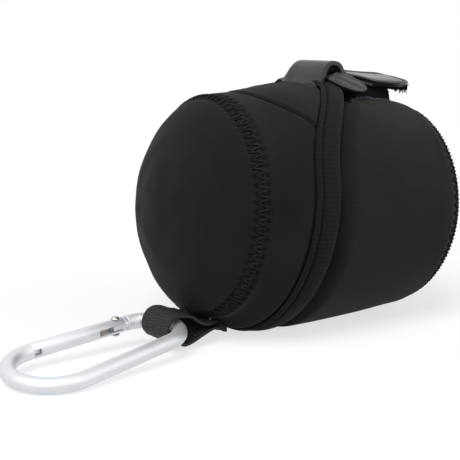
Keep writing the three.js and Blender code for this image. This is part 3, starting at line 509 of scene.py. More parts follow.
def plain_steel(name, low, high, roughness):
    # Nickel-plated steel of the pins, or the tan tempered leaf of the spring
    material = new_material(name)
    at = put(material, "ShaderNodeTexCoord", {}).outputs["Object"]
    worn = put(material, "ShaderNodeTexNoise", {"Vector": at, "Scale": 500.0, "Detail": 3.0})
    rough = put(material, "ShaderNodeMapRange",
                {"Value": worn, "To Min": roughness - 0.06, "To Max": roughness + 0.08})
    return finished(material, worn, low, high, Metallic=1.0, Roughness=rough)


NEOPRENE_CLOTH = jersey_neoprene("jersey_neoprene_body", 0.28)
LID_CLOTH = jersey_neoprene("jersey_neoprene_lid", 0.2)
BINDING = ribbed_binding()
THREAD = twisted_thread("twisted_polyester_thread", 0x060607, 0x44444C)
# Painted shade: a darker copy of the thread for the stitches sunk in the rim tape's channel and along the
# gusset seam
SHADED_THREAD = twisted_thread("sunken_thread_painted_shade", 0x060607, 0x2C2C32)
WORN_THREAD = twisted_thread("frayed_polyester_thread", 0x1C1C1F, 0x8C8C96)
LEATHERETTE = coated_leatherette("coated_leatherette", 0x1C1C1D, 0x2E2E2F, 0.36)
# Near-black matt: painted shade on the strap's lying part
LYING_STRAP_SHADE = pile_tape("lying_strap_painted_shade", 0x0A0A0B, 0x18181A, 1500.0)
DARK_EDGE = pile_tape("inked_leatherette_edge", 0x101011, 0x303034, 1300.0)
# Paler and bluish: painted reflection of the sky on the pad's polished middle
POLISHED_PAINTED_REFLECTION = coated_leatherette("polished_leatherette_painted_reflection", 0x262A2F, 0x373C43, 0.27)
TONGUE_LEATHERETTE = creased_leatherette()
CUT_EDGE = cut_leatherette_edge()
LOOP_PILE = pile_tape("loop_pile", 0x020203, 0x121214, 900.0)
HOOK_PILE = pile_tape("hook_pile", 0x040405, 0x1C1C20, 1100.0)
PULLED_FIBRE = twisted_thread("pulled_nylon_fibre", 0x3A3C46, 0xA4A8BA)
WEBBING = woven_webbing()
ALUMINIUM = anodised_aluminium()
STEEL = plain_steel("nickel_plated_steel", 0xB4B2AC, 0xD8D6D0, 0.28)
SPRING_STEEL = plain_steel("tempered_spring_steel", 0xA49A86, 0xC0B7A4, 0.35)


# Body of the pouch

def body_wall():
    def place(u, v):
        angle = ROUND_START + 2 * math.pi * u
        x = mix(mouth_x(angle), BODY_LENGTH, 1 - (1 - v) ** 1.5)
        radius = body_radius(x, angle) - pucker(x - BODY_LENGTH, angle)
        radius += unevenness(x, angle, SWELL) * ease((x - 20) / 20) * ease((BODY_LENGTH - x) / 10)
        return around(x, radius, angle)
    wall = cloth_grid("body_cloth", ROUND_COLUMNS, 84, place, (300, 77), closed=True)
    thicken(wall, NEOPRENE)
    return dress(wall, "pouch_body", "neoprene_cloth", NEOPRENE_CLOTH, nodes=["body_wall"])


def dome(seam_radius, rise):
    """Radius of the ball that a dome is cut from, and the angle from its top to its seam."""
    ball = (seam_radius ** 2 + rise ** 2) / (2 * rise)
    return ball, math.asin(seam_radius / ball)


# Seams that hold the domed ends: place, radius and rise of the dome, the way it faces, dip of the cloth at
# the seam, and how far the dome's underside is lifted
BODY_SEAM = (BODY_LENGTH, END_SEAM_RADIUS - END_SHRINK, END_RISE, 1, SEAM_DIP, END_LIFT)
LID_SEAM = (-LID_DEPTH, LID_SEAM_RADIUS, LID_RISE, -1, SEAM_DIP / 2, 0.0)


def end_panel(name, seam, drop):
    seam_x, seam_radius, rise, direction, dip, lifted = seam
    sphere, edge_turn = dome(seam_radius, rise)

    def place(u, v):
        angle = ROUND_START + 2 * math.pi * u
        turn = edge_turn * (1 - v ** 1.4)
        away = (edge_turn - turn) * sphere
        sink = dip * math.exp(-((away / SEAM_DIP_REACH) ** 2)) + pucker(away + 1e-6, angle)
        ball = sphere - sink
        over = ball * math.cos(turn) - (sphere - rise)
        swell = unevenness(3 * away, angle, 0.25) * ease(away / 12) * ease(turn * sphere / 18)
        flat = 1 - lifted * ease(-math.cos(angle)) / seam_radius
        return around(seam_x + direction * (over + swell), ball * math.sin(turn) * flat + 1e-5, angle, drop)
    panel = cloth_grid(name, ROUND_COLUMNS, 46, place, (270, 46), closed=True)
    return thicken(panel, NEOPRENE)


def body_end():
    panel = end_panel("body_end_cloth", BODY_SEAM, 0.0)
    return dress(panel, "pouch_body", "neoprene_cloth", NEOPRENE_CLOTH, nodes=["body_end_panel"])


STITCH_STEPS = 8
THREAD_SINK = 0.2
THREAD_BITE = 0.95


def zigzag_thread(name, seam, wall_radius, drop_at):
    """Zigzag over a seam: its points bite into the cloth on both sides, and it rides up over the seam."""
    seam_x, seam_radius, rise, direction, dip, lifted = seam
    sphere, edge_turn = dome(seam_radius, rise)
    points = []
    chance = random.Random(ZIGZAGS)
    for stitch in range(ZIGZAGS):
        slack = chance.uniform(0.86, 1.06)
        for step in range(STITCH_STEPS):
            share = step / STITCH_STEPS
            swing = 4 * share - 1 if share < 0.5 else 3 - 4 * share
            distance = slack * swing * ZIGZAG_WIDTH / 2
            angle = 2 * math.pi * (stitch + share) / ZIGZAGS + ROUND_START
            lift = 0.25 * slack - THREAD_BITE * abs(swing) ** 4
            if distance <= 0:
                over = seam_x + direction * distance
                radius = wall_radius(over, angle) - THREAD_SINK
            else:
                turn = edge_turn - distance / sphere
                ball = sphere - dip * math.exp(-((distance / SEAM_DIP_REACH) ** 2)) - THREAD_SINK
                over = seam_x + direction * (ball * math.cos(turn) - (sphere - rise) + 0.4 * lift)
                radius = ball * math.sin(turn) * (1 - lifted * ease(-math.cos(angle)) / seam_radius)
            points.append(around(over, radius + lift, angle, drop_at(over)))
    return thread_line(name, points, THREAD_RADIUS, closed=True)


def body_seam_thread():
    thread = zigzag_thread("body_seam_stitching", BODY_SEAM, body_radius, lambda x: 0.0)
    return dress(thread, "pouch_body", "black_thread", THREAD, nodes=["body_seam_thread"])


def folded_tape(name, start_at, profile, section_length, body, nodes):
    """Tape folded over a cloth edge: a closed section swept round the pouch."""
    steps = len(profile)

    def place(u, v):
        angle = ROUND_START + 2 * math.pi * u
        offset, radius = profile[int(round(v * steps)) % steps]
        x, r = start_at(angle, offset, radius)
        return around(x, r, angle)
    tape = cloth_grid(name, 300, steps, place, (300, section_length), closed=True)
    return dress(tape, body, "binding_tape", BINDING, nodes=nodes)


def through(a, b, c, d, t):
    """A smooth curve through four values, from the second at t = 0 to the third at t = 1."""
    return 0.5 * (2 * b + (c - a) * t + (2 * a - 5 * b + 4 * c - d) * t * t
                  + (3 * b - a - 3 * c + d) * t ** 3)


def rounded_loop(corners, per_side):
    """Corners of a closed section with points added between them, drawn gently towards a smooth curve."""
    points = []
    count = len(corners)
    for i, corner in enumerate(corners):
        before, after, later = corners[i - 1], corners[(i + 1) % count], corners[(i + 2) % count]
        for step in range(per_side):
            t = step / per_side
            blend = [0.0, 0.0]
            for axis in (0, 1):
                blend[axis] = through(before[axis], corner[axis], after[axis], later[axis], t)
            points.append(tuple(blend))
    return points


def lid_binding():
    outer = [(0.0, -0.55), (0.35, -0.15), (0.9, 0.1), (1.5, 0.0), (1.85, -0.7), (2.15, -1.15), (2.5, -0.7),
             (3.1, 0.0), (4.4, 0.22), (6.2, 0.32), (7.8, 0.2), (9.1, -0.12), (9.9, -0.6), (10.2, -1.3)]
    inner = [(10.2, -3.6), (9.7, -4.3), (8.8, -4.6), (4.5, -4.6), (0.4, -4.6), (0.0, -4.3), (0.0, -3.9),
             (5.0, -3.85), (8.6, -3.8), (8.95, -3.4), (8.95, -1.4), (8.6, -1.15), (4.0, -1.15), (0.1, -1.15)]

    def start_at(angle, offset, radius):
        return groove_x(angle) + offset, tape_radius(angle) + radius
    profile = rounded_loop(outer + inner, 2)
    return folded_tape("lid_rim_tape", start_at, profile, 30, "lid", ["lid_rim_binding"])


def mouth_binding():
    profile = [(0.0, -1.2), (0.0, -2.4), (0.4, -3.6), (1.0, -4.0), (3.5, -4.0), (7.0, -4.0), (7.0, -3.3),
               (3.5, -3.3), (1.0, -3.3), (0.7, -2.9), (0.7, -0.1), (1.0, 0.3), (3.5, 0.3), (7.0, 0.3),
               (7.0, 0.95), (3.5, 1.0), (1.0, 1.0), (0.35, 0.6), (0.0, -0.1)]

    def start_at(angle, offset, radius):
        start = mouth_x(angle) - 1
        x = start + offset
        return x, body_radius(max(x, mouth_x(angle)), angle) + radius
    return folded_tape("mouth_tape", start_at, profile, 16, "pouch_body", ["body_mouth_binding"])


def stitch_dashes(name, place_at, count, length, radius):
    """Single stitches along a line: one small bead, modelled once and copied."""
    deselect()
    bpy.ops.mesh.primitive_uv_sphere_add(segments=8, ring_count=6, radius=1)
    bead = named(name + "_bead")
    shape = [v.co.copy() for v in bead.data.vertices]
    faces = [list(p.vertices) for p in bead.data.polygons]
    bpy.data.objects.remove(bead)
    verts, polys = [], []
    for i in range(count):
        centre, along, normal = place_at((i + 0.5) / count)
        side = along.cross(normal).normalized()
        base = len(verts)
        for v in shape:
            flat = math.copysign(abs(v.z) ** 0.7, v.z)
            place = along * flat * length / 2 + side * v.x * radius + normal * v.y * radius
            verts.append(centre + place * MM)
        polys.extend([[base + k for k in face] for face in faces])
    mesh = bpy.data.meshes.new(name)
    mesh.from_pydata(verts, [], polys)
    return mend(added(name, mesh))


def frame_on(curve, surface_normal):
    """Place, course and outward normal along a line given as a function of its share."""
    def at(share):
        a, b = curve(share - 0.001), curve(share + 0.001)
        centre = curve(share)
        return centre, (b - a).normalized(), surface_normal(share)
    return at


def outward(angle):
    """Direction away from the pouch's axis."""
    return (around(0, 1, angle) - around(0, 0, angle)).normalized()


def lid_rim_stitch():
    channel, sink = 2.12, 0.72

    def curve(share):
        angle = ROUND_START + 2 * math.pi * share
        return around(groove_x(angle) + channel, tape_radius(angle) - sink, angle)
    frames = frame_on(curve, lambda s: outward(ROUND_START + 2 * math.pi * s))
    dashes = stitch_dashes("lid_rim_stitching", frames, 104, 2.3, 0.28)
    return dress(dashes, "lid", "black_thread", SHADED_THREAD, nodes=["lid_rim_stitch"])


# Lid

GUSSET_START, GUSSET_HALF = -7.7, 48.5 * DEGREE
GUSSET_CORNER_DEPTH, GUSSET_BOW = 1.4, 0.24
GUSSET_LIFT, GUSSET_THICKNESS = 0.5, 1.0

# The lid's cloth goes under the binding: share of the grid before the rim, depth of the tuck and its run-in
SHARE_BEFORE_RIM = 0.86
RIM_TUCK, TUCK_REACH, TUCK_SHORT = 1.0, 1.4, 1.6


def gusset_lead(angle):
    """Leading edge of the top panel: it sweeps back from the top to a corner at the rim on each side."""
    share = math.sqrt(angle * angle + 0.0016) / GUSSET_HALF
    corner = groove_x(GUSSET_HALF) - GUSSET_CORNER_DEPTH
    return mix(GUSSET_START, corner, share * (1 - GUSSET_BOW * (1 - share)))


def strap_dent(x, y):
    """Cloth of the lid pressed down at the foot of the strap, and under its far half all along."""
    across = 1 - ease((abs(y) - 11.2) / 3)
    bared = 0.8 * ease((x - STRAP_START + 1) / 1.5) * ease((y - COVER_EDGE) / COVER_REACH)
    return (bared + ease((x - DENT_START) / DENT_REACH)) * across


def lid_band():
    def place(u, v):
        angle = ROUND_START + 2 * math.pi * u
        turned = math.atan2(math.sin(angle), math.cos(angle))
        edge = groove_x(angle)
        if v <= SHARE_BEFORE_RIM:
            x = mix(-LID_DEPTH, edge, (v / SHARE_BEFORE_RIM) ** 1.35)
            radius = lid_radius(x, angle)
            radius -= pucker(x + LID_DEPTH if x > -LID_DEPTH else 0.0, angle)
            radius -= RIM_TUCK * ease((x - edge + TUCK_REACH) / TUCK_REACH)
            if abs(turned) < GUSSET_HALF + 0.1:
                radius -= 0.8 * math.exp(-(((x - gusset_lead(turned) + 0.2) / 0.6) ** 2))
                radius -= strap_dent(x, -radius * math.sin(turned))
            radius += unevenness(x, angle, SWELL) * ease((x + LID_DEPTH) / 8) * ease((edge - x) / 6)
        else:
            x = mix(edge, edge + BINDING_WIDTH - TUCK_SHORT, (v - SHARE_BEFORE_RIM) / (1 - SHARE_BEFORE_RIM))
            radius = min(lid_radius(edge, angle) - RIM_TUCK, tape_radius(angle) - 1.5)
        return around(x, radius, angle, droop(x))
    band = cloth_grid("lid_cloth", ROUND_COLUMNS, 74, place, (290, 45), closed=True)
    thicken(band, LID_CLOTH_THICKNESS)
    return dress(band, "lid", "neoprene_cloth", LID_CLOTH, nodes=["lid_band"])


def lid_end():
    panel = end_panel("lid_end_cloth", LID_SEAM, -LID_DROOP)
    return dress(panel, "lid", "neoprene_cloth", LID_CLOTH, nodes=["lid_end_panel"])


def lid_seam_thread():
    thread = zigzag_thread("lid_seam_stitching", LID_SEAM, lid_radius, droop)
    return dress(thread, "lid", "black_thread", THREAD, nodes=["lid_seam_thread"])


def lid_gusset():
    def place(u, v):
        angle = mix(-GUSSET_HALF, GUSSET_HALF, v)
        lead, rim = gusset_lead(angle), groove_x(angle) - 0.5
        x = mix(lead, rim, u)
        ends = math.exp(-(((x - lead) / 0.45) ** 2)) + math.exp(-(((rim - x) / 0.6) ** 2))
        roll = ends + abs(2 * v - 1) ** 30
        lift = GUSSET_LIFT - 0.8 * min(1.0, roll) - strap_dent(x, -lid_radius(x, angle) * math.sin(angle))
        lift += unevenness(3 * x, angle, 0.12) * (1 - min(1.0, roll))
        return around(x, lid_radius(x, angle) + lift, angle, droop(x))
    panel = cloth_grid("lid_gusset_cloth", 60, 120, place, (30, 75))
    thicken(panel, GUSSET_THICKNESS)
    return dress(panel, "lid", "neoprene_cloth", LID_CLOTH, nodes=["lid_top_gusset"])


def gusset_stitching(side, end):
    def curve(share):
        angle = side * mix(1.5 * DEGREE, GUSSET_HALF, share)
        x = gusset_lead(angle) - 0.15
        return around(x, lid_radius(x, angle) - 0.75, angle, droop(x))
    frames = frame_on(curve, lambda s: outward(side * GUSSET_HALF * s))
    dashes = stitch_dashes("gusset_stitching_" + end, frames, 17, 1.6, 0.2)
    return dress(dashes, "lid", "black_thread", SHADED_THREAD, nodes=["gusset_stitch_" + end])


# Strap, tab and tongue

def crest(radius_at, x, y):
    """Height of the cloth over the axis, at a distance to the side."""
    angle = 0.0
    for _ in range(5):
        angle = math.asin(min(1.0, abs(y) / radius_at(x, angle)))
    return radius_at(x, angle) * math.cos(angle)


STRAP_START, FOLD_END, STRAP_FOOT = 9.0, 36.1, 46.3
STRAP_OVER_CLOTH = 0.45
LYING_SHARE = 0.3
RIDGE_SKEW = 1.6
# Outer face of the arch from its foot over the ridge to the fold: place along the pouch, share of the rise
RISING_SIDE = [(23.0, 0.0), (23.8, 0.05), (24.3, 0.22), (24.6, 0.44), (25.1, 0.64), (25.9, 0.81),
               (27.0, 0.93), (28.6, 0.99)]
FALLING_SIDE = [(30.2, 1.0), (31.9, 0.93), (33.2, 0.74), (34.0, 0.5), (34.6, 0.26), (35.3, 0.07),
                (FOLD_END, 0.0)]


def strap_seat(x, y):
    """Outer face of the strap where it is sewn down: its near half under the cloth, its far edge lifted."""
    covered = 1 - ease((y - COVER_EDGE) / COVER_REACH)
    cloth = crest(lid_radius, x, y)
    lying = cloth + droop(x) + STRAP_OVER_CLOTH - 0.9 * covered
    foot = min(cloth + STRAP_OVER_CLOTH, STRAP_FOOT) - 0.5 * covered + 1.9 * ease((y - 5.5) / 5.5)
    return mix(lying, foot, ease((x - 18) / 5))


def strap_station(u):
    """Distance along the pouch, share of the rise, and whether the strap is past its ridge."""
    if u < LYING_SHARE:
        return mix(STRAP_START, RISING_SIDE[0][0], u / LYING_SHARE), 0.0, False
    stations = RISING_SIDE + FALLING_SIDE
    t = (u - LYING_SHARE) / (1 - LYING_SHARE) * (len(stations) - 1)
    i = min(int(t), len(stations) - 2)
    p, q, r, w = (stations[max(0, min(len(stations) - 1, i + k))] for k in (-1, 0, 1, 2))
    x, share = (through(p[k], q[k], r[k], w[k], t - i) for k in (0, 1))
    return x, share, t > len(RISING_SIDE) - 0.5


def strap_loop():
    def place(u, v):
        y = mix(-STRAP_WIDTH / 2, STRAP_WIDTH / 2, v)
        x, share, falling = strap_station(u)
        foot = TAB_HEIGHT + STRAP_THICKNESS if falling else strap_seat(min(x, RISING_SIDE[0][0]), y)
        far = (y + STRAP_WIDTH / 2) / STRAP_WIDTH
        if falling:
            skew = far * RIDGE_SKEW * ease(share)
        else:
            skew = far * mix(-1.7 * ease((x - DENT_START) / DENT_REACH), RIDGE_SKEW, share)
        return pouch_point(x + skew, y, mix(foot, RIDGE_HEIGHT + 0.012 * y, share))
    strap = cloth_grid("strap_leatherette", 110, 30, place, (40, 22))
    thicken(strap, STRAP_THICKNESS, rim_material=1)
    soften(strap, 0.28, 3, 55, material=-1)
    # Painted shade: the strap's faces before the arch and below its foot take a near-black matt material
    sewn_down = pouch_point(RISING_SIDE[1][0], 0, 49.0)
    for face in strap.data.polygons:
        if face.center.x < pouch_point(RISING_SIDE[1][0], 0, 0).x and face.center.z < sewn_down.z:
            face.material_index = 2
    return dress(strap, "lid", "leatherette", LEATHERETTE, CUT_EDGE, LYING_STRAP_SHADE, nodes=["strap_loop"], angle=35)


def strap_foot_stitching():
    """Rough stitches that hold the strap down across the foot of the arch."""
    points = []
    chance = random.Random(7)
    stitches = 55
    for i in range(stitches + 1):
        y = mix(10.6, -11.2, i / stitches)
        zig = 0.35 if i % 2 else -0.35
        x = ARCH_START + zig + 0.04 * (y + 11)
        cloth = crest(lid_radius, x, y) + 0.5 - strap_dent(x, y)
        points.append(pouch_point(x, y, max(strap_seat(x, y), cloth) + 0.1 + chance.uniform(-0.1, 0.25)))
    thread = thread_line("strap_foot_stitching", points, 0.24)
    return dress(thread, "lid", "black_thread", WORN_THREAD)


def tab_height(x, y):
    """Lower face of the tab: level, curled up a little at its end, and rolled over to the near side."""
    flat, roll_reach = 20.0, 16.0
    bend = max(0.0, (x - TAB_START - flat) / (TAB_REACH - flat))
    return TAB_HEIGHT + TAB_CURL * bend ** 2 + TAB_ROLL * y * ease((x - TAB_START) / roll_reach)


PAD_START, PAD_END = TAB_START + 5.2, TAB_START + TAB_REACH
PAD_HEEL, PAD_CHANNEL, PAD_THICKNESS = 9.0, 2.6, 2.1
PAD_CLOTH = (40, 22)
TIP_TURN, TIP_REACH = 0.9, 8.0


def pad_outline(share):
    """Place along the pouch and half width of the pad: a short rounded heel and a round end."""
    x = mix(PAD_START, PAD_END, 0.5 - 0.5 * math.cos(math.pi * share))
    tip = STRAP_WIDTH / 2
    left, right = max(0.0, PAD_START + PAD_HEEL - x) / PAD_HEEL, max(0.0, x - (PAD_END - tip)) / tip
    return x, tip * math.sqrt(max(0.0, 1 - left ** 2.4)) * math.sqrt(max(0.0, 1 - right ** 2))


def pad_inset(x, y, wide):
    """Distance of a point of the pad from its edge."""
    return min(wide - abs(y), (x - PAD_START) * 0.9, PAD_END - x)


def tab_pad():
    """Oval pad at the tab's end: a raised rim, a stitched channel and a smooth crowned middle."""
    def place(u, v):
        x, wide = pad_outline(u)
        y = (2 * v - 1) * wide
        inset = pad_inset(x, y, wide)
        channel = 0.8 * math.exp(-(((inset - PAD_CHANNEL) / 0.55) ** 2))
        rim = 0.6 * ease(inset / 0.8) - 0.35 * ease((inset - PAD_CHANNEL) / 0.5)
        crown = 0.35 * ease((inset - 3.2) / 3)
        tip = TIP_TURN * ease((x - PAD_END + TIP_REACH) / TIP_REACH)
        face = STRAP_THICKNESS - 0.25 + rim - channel + crown
        return pouch_point(x - tip, y, tab_height(x, y) + face - tip)
    pad = cloth_grid("tab_pad", 90, 64, place, PAD_CLOTH)
    thicken(pad, PAD_THICKNESS, rim_material=1)
    # The middle inside the channel is rubbed to a polish; its paler bluish tone is painted reflection of the
    # sky at a grazing angle
    uv = pad.data.uv_layers[0].data
    for face in pad.data.polygons:
        middle = [sum(uv[i].uv[k] for i in face.loop_indices) / face.loop_total for k in (0, 1)]
        u, v = (middle[k] / (PAD_CLOTH[k] * MM) for k in (0, 1))
        x, wide = pad_outline(u)
        if face.material_index == 0 and pad_inset(x, (2 * v - 1) * wide, wide) > 3.0 and face.normal.z > 0:
            face.material_index = 2
    return dress(pad, "closure_tab", "leatherette", LEATHERETTE, DARK_EDGE, POLISHED_PAINTED_REFLECTION, nodes=["closure_tab"],
                 angle=40)


def tab_neck():
    """Strap between the arch and the pad, running on under the pad."""
    length, half, waist = 14, 10.2, 0.05

    def place(u, v):
        x = mix(TAB_START, TAB_START + length, u)
        y = mix(-half, half, v) * (1 - waist * math.sin(math.pi * u))
        return pouch_point(x, y, tab_height(x, y) + 1.45 - 1.3 * ease((x - PAD_START + 2.4) / 2.0))
    neck = cloth_grid("tab_neck", 28, 16, place, (length, 20))
    thicken(neck, 0.9, rim_material=1)
    return dress(neck, "closure_tab", "leatherette", LEATHERETTE, CUT_EDGE, nodes=["closure_tab"], angle=40)


def tab_stitch():
    """Stitches in the pad's channel: along one side, round the end and back along the other side."""
    half = STRAP_WIDTH / 2 - 2.7
    centre = PAD_END - STRAP_WIDTH / 2
    run, sink = 14.0, 0.42
    bend = math.pi * half

    def curve(share):
        s = share * (2 * run + bend)
        if s < run:
            x, y = centre - run + s, -half
        elif s < run + bend:
            x, y = centre + half * math.sin((s - run) / half), -half * math.cos((s - run) / half)
        else:
            x, y = centre - (s - run - bend), half
        return pouch_point(x, y, tab_height(x, y) + STRAP_THICKNESS - sink)
    dashes = stitch_dashes("tab_stitching", frame_on(curve, lambda s: Vector((0, 0, 1))), 34, 1.4, 0.2)
    return dress(dashes, "closure_tab", "black_thread", THREAD, nodes=["tab_stitch"])


def rough_pile(piece, amount, seed):
    """Pulls the pile about, as rubbed loops are."""
    chance = random.Random(seed)
    for vertex, normal in [(v, v.normal.copy()) for v in piece.data.vertices]:
        vertex.co += normal * chance.uniform(-amount, amount) * MM
    return piece


def hook_peel(x):
    """The hook tape sits a little lower at the tab's free end."""
    return 0.3 * ease((x - TAB_START - 27) / 6)


HOOK_START, HOOK_END, HOOK_HALF = TAB_START + 7.7, TAB_START + 33.2, 9
HOOK_THICKNESS, HOOK_IN_PAD = 1.75, 0.25


def hook_strip():
    def place(u, v):
        x = mix(HOOK_START, HOOK_END, u)
        y = mix(-HOOK_HALF, HOOK_HALF, v)
        return pouch_point(x, y, tab_height(x, y) + HOOK_IN_PAD - hook_peel(x))
    strip = cloth_grid("hook_tape", 84, 56, place, (26, 2 * HOOK_HALF))
    thicken(strip, HOOK_THICKNESS)
    rough_pile(strip, 0.16, 5)
    return dress(strip, "closure_tab", "hook_and_loop", HOOK_PILE, nodes=["hook_strip"])


def hook_fringe():
    """Loose hooks that stand out at the free end of the hook tape."""
    chance = random.Random(11)
    hairs = []
    count = 90
    for i in range(count):
        y = mix(0.2 - HOOK_HALF, HOOK_HALF - 0.2, (i + chance.random()) / count)
        x = TAB_START + chance.uniform(30.2, 33)
        z = tab_height(x, y) - hook_peel(x) - 1.2 - chance.uniform(0.0, 0.3)
        reach, fall = chance.uniform(-0.3, 0.8), chance.uniform(0.5, 2.0)
        points = [pouch_point(x, y, z),
                  pouch_point(x + reach, y + chance.uniform(-0.4, 0.4), z - fall * 0.4),
                  pouch_point(x + reach * 1.3, y + chance.uniform(-0.7, 0.7), z - fall)]
        hairs.append(thread_line(f"hook_{i}", points, 0.13, sides=1))
    fringe = joined("hook_fringe", hairs)
    return dress(fringe, "closure_tab", "hook_and_loop", PULLED_FIBRE)


TONGUE_LENGTH, TONGUE_OVAL, TONGUE_WIDTH, TONGUE_THICKNESS = 14.9, 18.0, 8.4, 1.1
TONGUE_START = Vector((29.4, -11.4, 49.0))
TONGUE_COURSE = Vector((0.42362, -0.84595, -0.32392))
TONGUE_ACROSS = Vector((0.86254, 0.26747, 0.42951))


def tongue_leaf():
    """Oval leaf of the pull tongue, rolled towards the near side, its far end a little curled."""
    def place(u, v):
        away = ((u - 1) * TONGUE_LENGTH + TONGUE_OVAL / 2) / (TONGUE_OVAL / 2)
        half = TONGUE_WIDTH / 2 * math.sqrt(max(0.004, 1 - away ** 2))
        side = 2 * v - 1
        dish = 0.4 * (1 - side * side) + 0.25 * math.sin(2.4 * u + 0.4)
        p = TONGUE_START + TONGUE_COURSE * (u * TONGUE_LENGTH) + TONGUE_ACROSS * (side * half)
        return pouch_point(p.x, p.y, p.z + 1.0 + dish)
    leaf = cloth_grid("tongue_leaf", 48, 20, place, (15, 8))
    thicken(leaf, TONGUE_THICKNESS, rim_material=1)
    soften(leaf, 0.18, 2, 55)
    return dress(leaf, "pull_tongue", "leatherette", TONGUE_LEATHERETTE, CUT_EDGE, nodes=["pull_tongue"],
                 angle=40)


def tongue_root():
    """The tongue's end that runs in under the arch."""
    inner = Vector(((ARCH_START + ARCH_END) / 2, TONGUE_START.y + 7.5, 48.1))
    outer = TONGUE_START - TONGUE_COURSE * GAP
    away = (TONGUE_OVAL / 2 - TONGUE_LENGTH) / (TONGUE_OVAL / 2)
    half = TONGUE_WIDTH / 2 * math.sqrt(1 - away ** 2)

    def place(u, v):
        side = mix(-half, half, v)
        p = (inner + Vector((side, 0, 0))).lerp(outer + TONGUE_ACROSS * side, ease(u))
        return pouch_point(p.x, p.y, p.z + 1.3)
    root = cloth_grid("tongue_root", 16, 8, place, (9, 6))
    thicken(root, TONGUE_THICKNESS, rim_material=1)
    return dress(root, "lid", "leatherette", TONGUE_LEATHERETTE, CUT_EDGE, nodes=["pull_tongue_root"],
                 angle=40)


# Patch and tape on the body

PATCH_X, PATCH_LENGTH, PATCH_WIDTH = 33.2, 26.6, 26.0
PATCH_BASE, PILE_HEIGHT = 0.5, 1.4
HOOKS_DOWN = 1.35


def patch_sides(u):
    """Near and far side of the patch along its length: sewn on a little askew."""
    return -mix(20.6, 10.0, u), mix(8.5, 11.5, u)


def patch_start(y):
    """End of the patch by the lid: it keeps clear of the binding's crown."""
    return PATCH_X - 1.8 + 4.3 * ease((y + 18) / 10)


def loop_patch():
    """The pile patch: it stands up to the hooks where the tab grips it."""
    def place(u, v):
        y = mix(*patch_sides(u), v)
        x = mix(patch_start(y), PATCH_X + PATCH_LENGTH, u)
        edge = min(u * PATCH_LENGTH, (1 - u) * PATCH_LENGTH, v * PATCH_WIDTH, (1 - v) * PATCH_WIDTH)
        z = crest(body_radius, x, y) + PATCH_BASE + PILE_HEIGHT * ease(edge / 1.1)
        gripped = ease((x - TAB_START - 6) / 2) * ease((10.2 - abs(y)) / 1.2) * ease(edge / 0.7)
        under_hooks = tab_height(x, y) - GAP - HOOKS_DOWN
        return pouch_point(x, y, mix(z, max(z, under_hooks), gripped))
    patch = cloth_grid("loop_pile_patch", 96, 96, place, (26, 26))
    rough_pile(patch, 0.24, 3)
    thicken(patch, 0.9)
    return dress(patch, "pouch_body", "hook_and_loop", LOOP_PILE, nodes=["loop_patch"])


def loop_patch_stitching(side, end):
    """Rough stitches along one side of the patch: every second pair steps off its edge."""
    points = []
    chance = random.Random(5 + side)
    stitches, inset = 72, 0.3
    for i in range(stitches + 1):
        edge = patch_sides(i / stitches)[0 if side < 0 else 1]
        off, height = (0.8, 0.15) if i % 4 in (1, 2) else (-0.2, 0.6)
        x = mix(patch_start(edge) + inset, PATCH_X + PATCH_LENGTH - inset, i / stitches)
        y = edge + side * (off + chance.uniform(-0.3, 0.3))
        points.append(pouch_point(x, y, crest(body_radius, x, y) + height))
    node = "loop_patch_stitch_" + end
    line = thread_line(node + "ing", points, 0.2)
    return dress(line, "pouch_body", "black_thread", WORN_THREAD, nodes=[node])


def hinge_tape():
    """The tape under the pouch that the lid turns on."""
    start = groove_x(math.pi) + BINDING_WIDTH - 1.2
    length, half = 5.6, 15

    def place(u, v):
        x = mix(start, start + length, u)
        angle = math.pi + mix(-half, half, v) / END_SEAM_RADIUS
        radius = body_radius(max(x, start + 1.5), angle) + 0.9 + 1.6 * (1 - u) ** 2
        return around(x, radius, angle)
    tape = cloth_grid("hinge_strip", 16, 30, place, (6, 2 * half))
    thicken(tape, 0.7)
    for vertex in tape.data.vertices:
        vertex.co.z = max(vertex.co.z, 0.0)
    return tape


# Webbing

EYE = Vector((-38.2, -12.0, -39.939))
ZIGZAG_STEP = 1.05


def webbing_point(along, across, z):
    """A point of the webbing by its distance from the ring's eye, along and across."""
    return (EYE.x + along * math.cos(RING_YAW) - across * math.sin(RING_YAW),
            EYE.y + along * math.sin(RING_YAW) + across * math.cos(RING_YAW), z)


def lid_underside(x, y):
    """Height of the lid's lowest cloth in the level frame."""
    z = -AXIS_HEIGHT
    for _ in range(8):
        px = x * math.cos(PITCH) - z * math.sin(PITCH)
        radius = lid_radius(px, math.pi)
        pz = droop(px) - math.sqrt(max(1.0, radius ** 2 - y ** 2))
        z = (pz - x * math.sin(PITCH)) / math.cos(PITCH)
    return z


def webbing_seat(along, across):
    """Upper face of the webbing where it lies under the lid, lower where it crosses the zigzag."""
    x, y = webbing_point(along, across, 0)[:2]
    clear = ease((x + LID_DEPTH - ZIGZAG_WIDTH / 2 - GAP) / ZIGZAG_WIDTH)
    return lid_underside(x, y) - GAP - (1 - clear) * ZIGZAG_STEP


WEBBING_HALF, WEBBING_THICKNESS, WEBBING_REACH = 7.0, 1.2, 20.0
WRAP_CLEARANCE, STRAND_GAP, STRAND_STEPS = 1.6, 0.2, 22
STRAND_END, ROOT_START, ROOT_LENGTH = WEBBING_REACH + 1, WEBBING_REACH + 1.5, 8.5
WEBBING_LEAN = math.tan(5.3 * DEGREE)


def gathered_edge(along):
    """Near edge of the webbing, drawn in where it goes under the lid."""
    return -WEBBING_HALF + 3.4 * ease((along - 13) / 8) + 5.2 * ease((along - STRAND_END) / 5)


